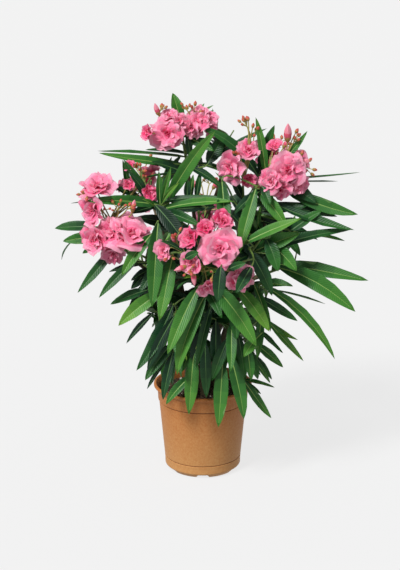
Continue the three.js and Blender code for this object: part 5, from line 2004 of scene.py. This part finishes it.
# ---- Studio ----
@dataclass
class Studio:
    """A pale paper floor under soft daylight from the front left, and the camera."""

    floor_size: float = 40.0  # in metres, as the rest here
    frame_height: float = 0.8579  # how much of the plane through the crown's middle the frame takes in
    floor_glow: float = 0.765
    key_strength: float = 3.2
    key_angle: float = 14.0
    key_from: tuple[float, float, float] = (-0.62, -0.75, 1.05)
    sky_strength: float = 0.42
    paper: float = 0.888  # how bright the floor and the far end of it show

    def build(self) -> None:
        """Makes the floor, the lights and the camera."""
        half = self.floor_size / 2
        mesh = bpy.data.meshes.new("studio_floor")
        mesh.from_pydata([(-half, -half, 0), (half, -half, 0), (half, half, 0), (-half, half, 0)], [],
                         [(0, 1, 2, 3)])
        material = FLOOR.material()
        shader = material.node_tree.nodes["Principled BSDF"]
        shader.inputs["Emission Color"].default_value = (1, 1, 1, 1)
        shader.inputs["Emission Strength"].default_value = self.floor_glow
        shader.inputs["Specular IOR Level"].default_value = 0.0
        mesh.materials.append(material)
        floor = bpy.data.objects.new("studio_floor", mesh)
        floor.visible_diffuse = False  # so that its glow doesn't light the crown from below
        bpy.context.scene.collection.objects.link(floor)
        world = bpy.data.worlds.new("studio daylight")
        world.use_nodes = True
        background = world.node_tree.nodes["Background"]
        background.inputs["Color"].default_value = (1, 1, 1, 1)
        path = add_node(world.node_tree, "LightPath")
        strength = add_node(world.node_tree, "Mix", {2: self.sky_strength, 3: self.paper},
                            {0: path.outputs["Is Camera Ray"]})
        world.node_tree.links.new(strength.outputs[0], background.inputs["Strength"])
        scene = bpy.context.scene
        scene.world = world
        scene.view_settings.view_transform = "Standard"
        self.add_light()
        self.add_camera()

    def add_light(self) -> None:
        """Adds the key light, a broad sun."""
        lamp = bpy.data.lights.new("key", "SUN")
        lamp.energy = self.key_strength
        lamp.angle = math.radians(self.key_angle)
        key = bpy.data.objects.new("key", lamp)
        key.rotation_euler = self.facing(np.array(self.key_from)).to_euler()
        bpy.context.scene.collection.objects.link(key)

    @staticmethod
    def facing(place: Array) -> Quaternion:
        """The turn of a lamp or camera at a place that looks back at the origin."""
        return Vector(place).to_track_quat("Z", "Y")

    def add_camera(self) -> None:
        """Adds the camera: level from side to side, in front, looking down by the tilt."""
        data = bpy.data.cameras.new("camera")
        data.lens = data.sensor_width * EYE_DISTANCE * MM / self.frame_height
        data.clip_end = 100
        camera = bpy.data.objects.new("camera", data)
        camera.location = (CROWN_MIDDLE + TO_EYE * EYE_DISTANCE) * MM
        camera.rotation_euler = self.facing(TO_EYE).to_euler()
        bpy.context.scene.collection.objects.link(camera)
        bpy.context.scene.camera = camera


def main() -> None:
    """Builds the plant in order."""
    logging.basicConfig(level=logging.INFO, format="%(message)s")
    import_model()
    Studio().build()
    pot = Pot()
    pot.build()
    soil = Soil(pot)
    soil.build()
    limbs = Limbs(soil)
    limbs.grow()
    limbs.build()
    trusses = Trusses()
    stalks = trusses.lay_out()
    trusses.build(stalks)
    foliage = Foliage(limbs, trusses, pot)
    shoots = foliage.grow()
    foliage.build(shoots)
    LOG.info("%d leaves", len(foliage.leaves))


if __name__ == "__main__":
    main()
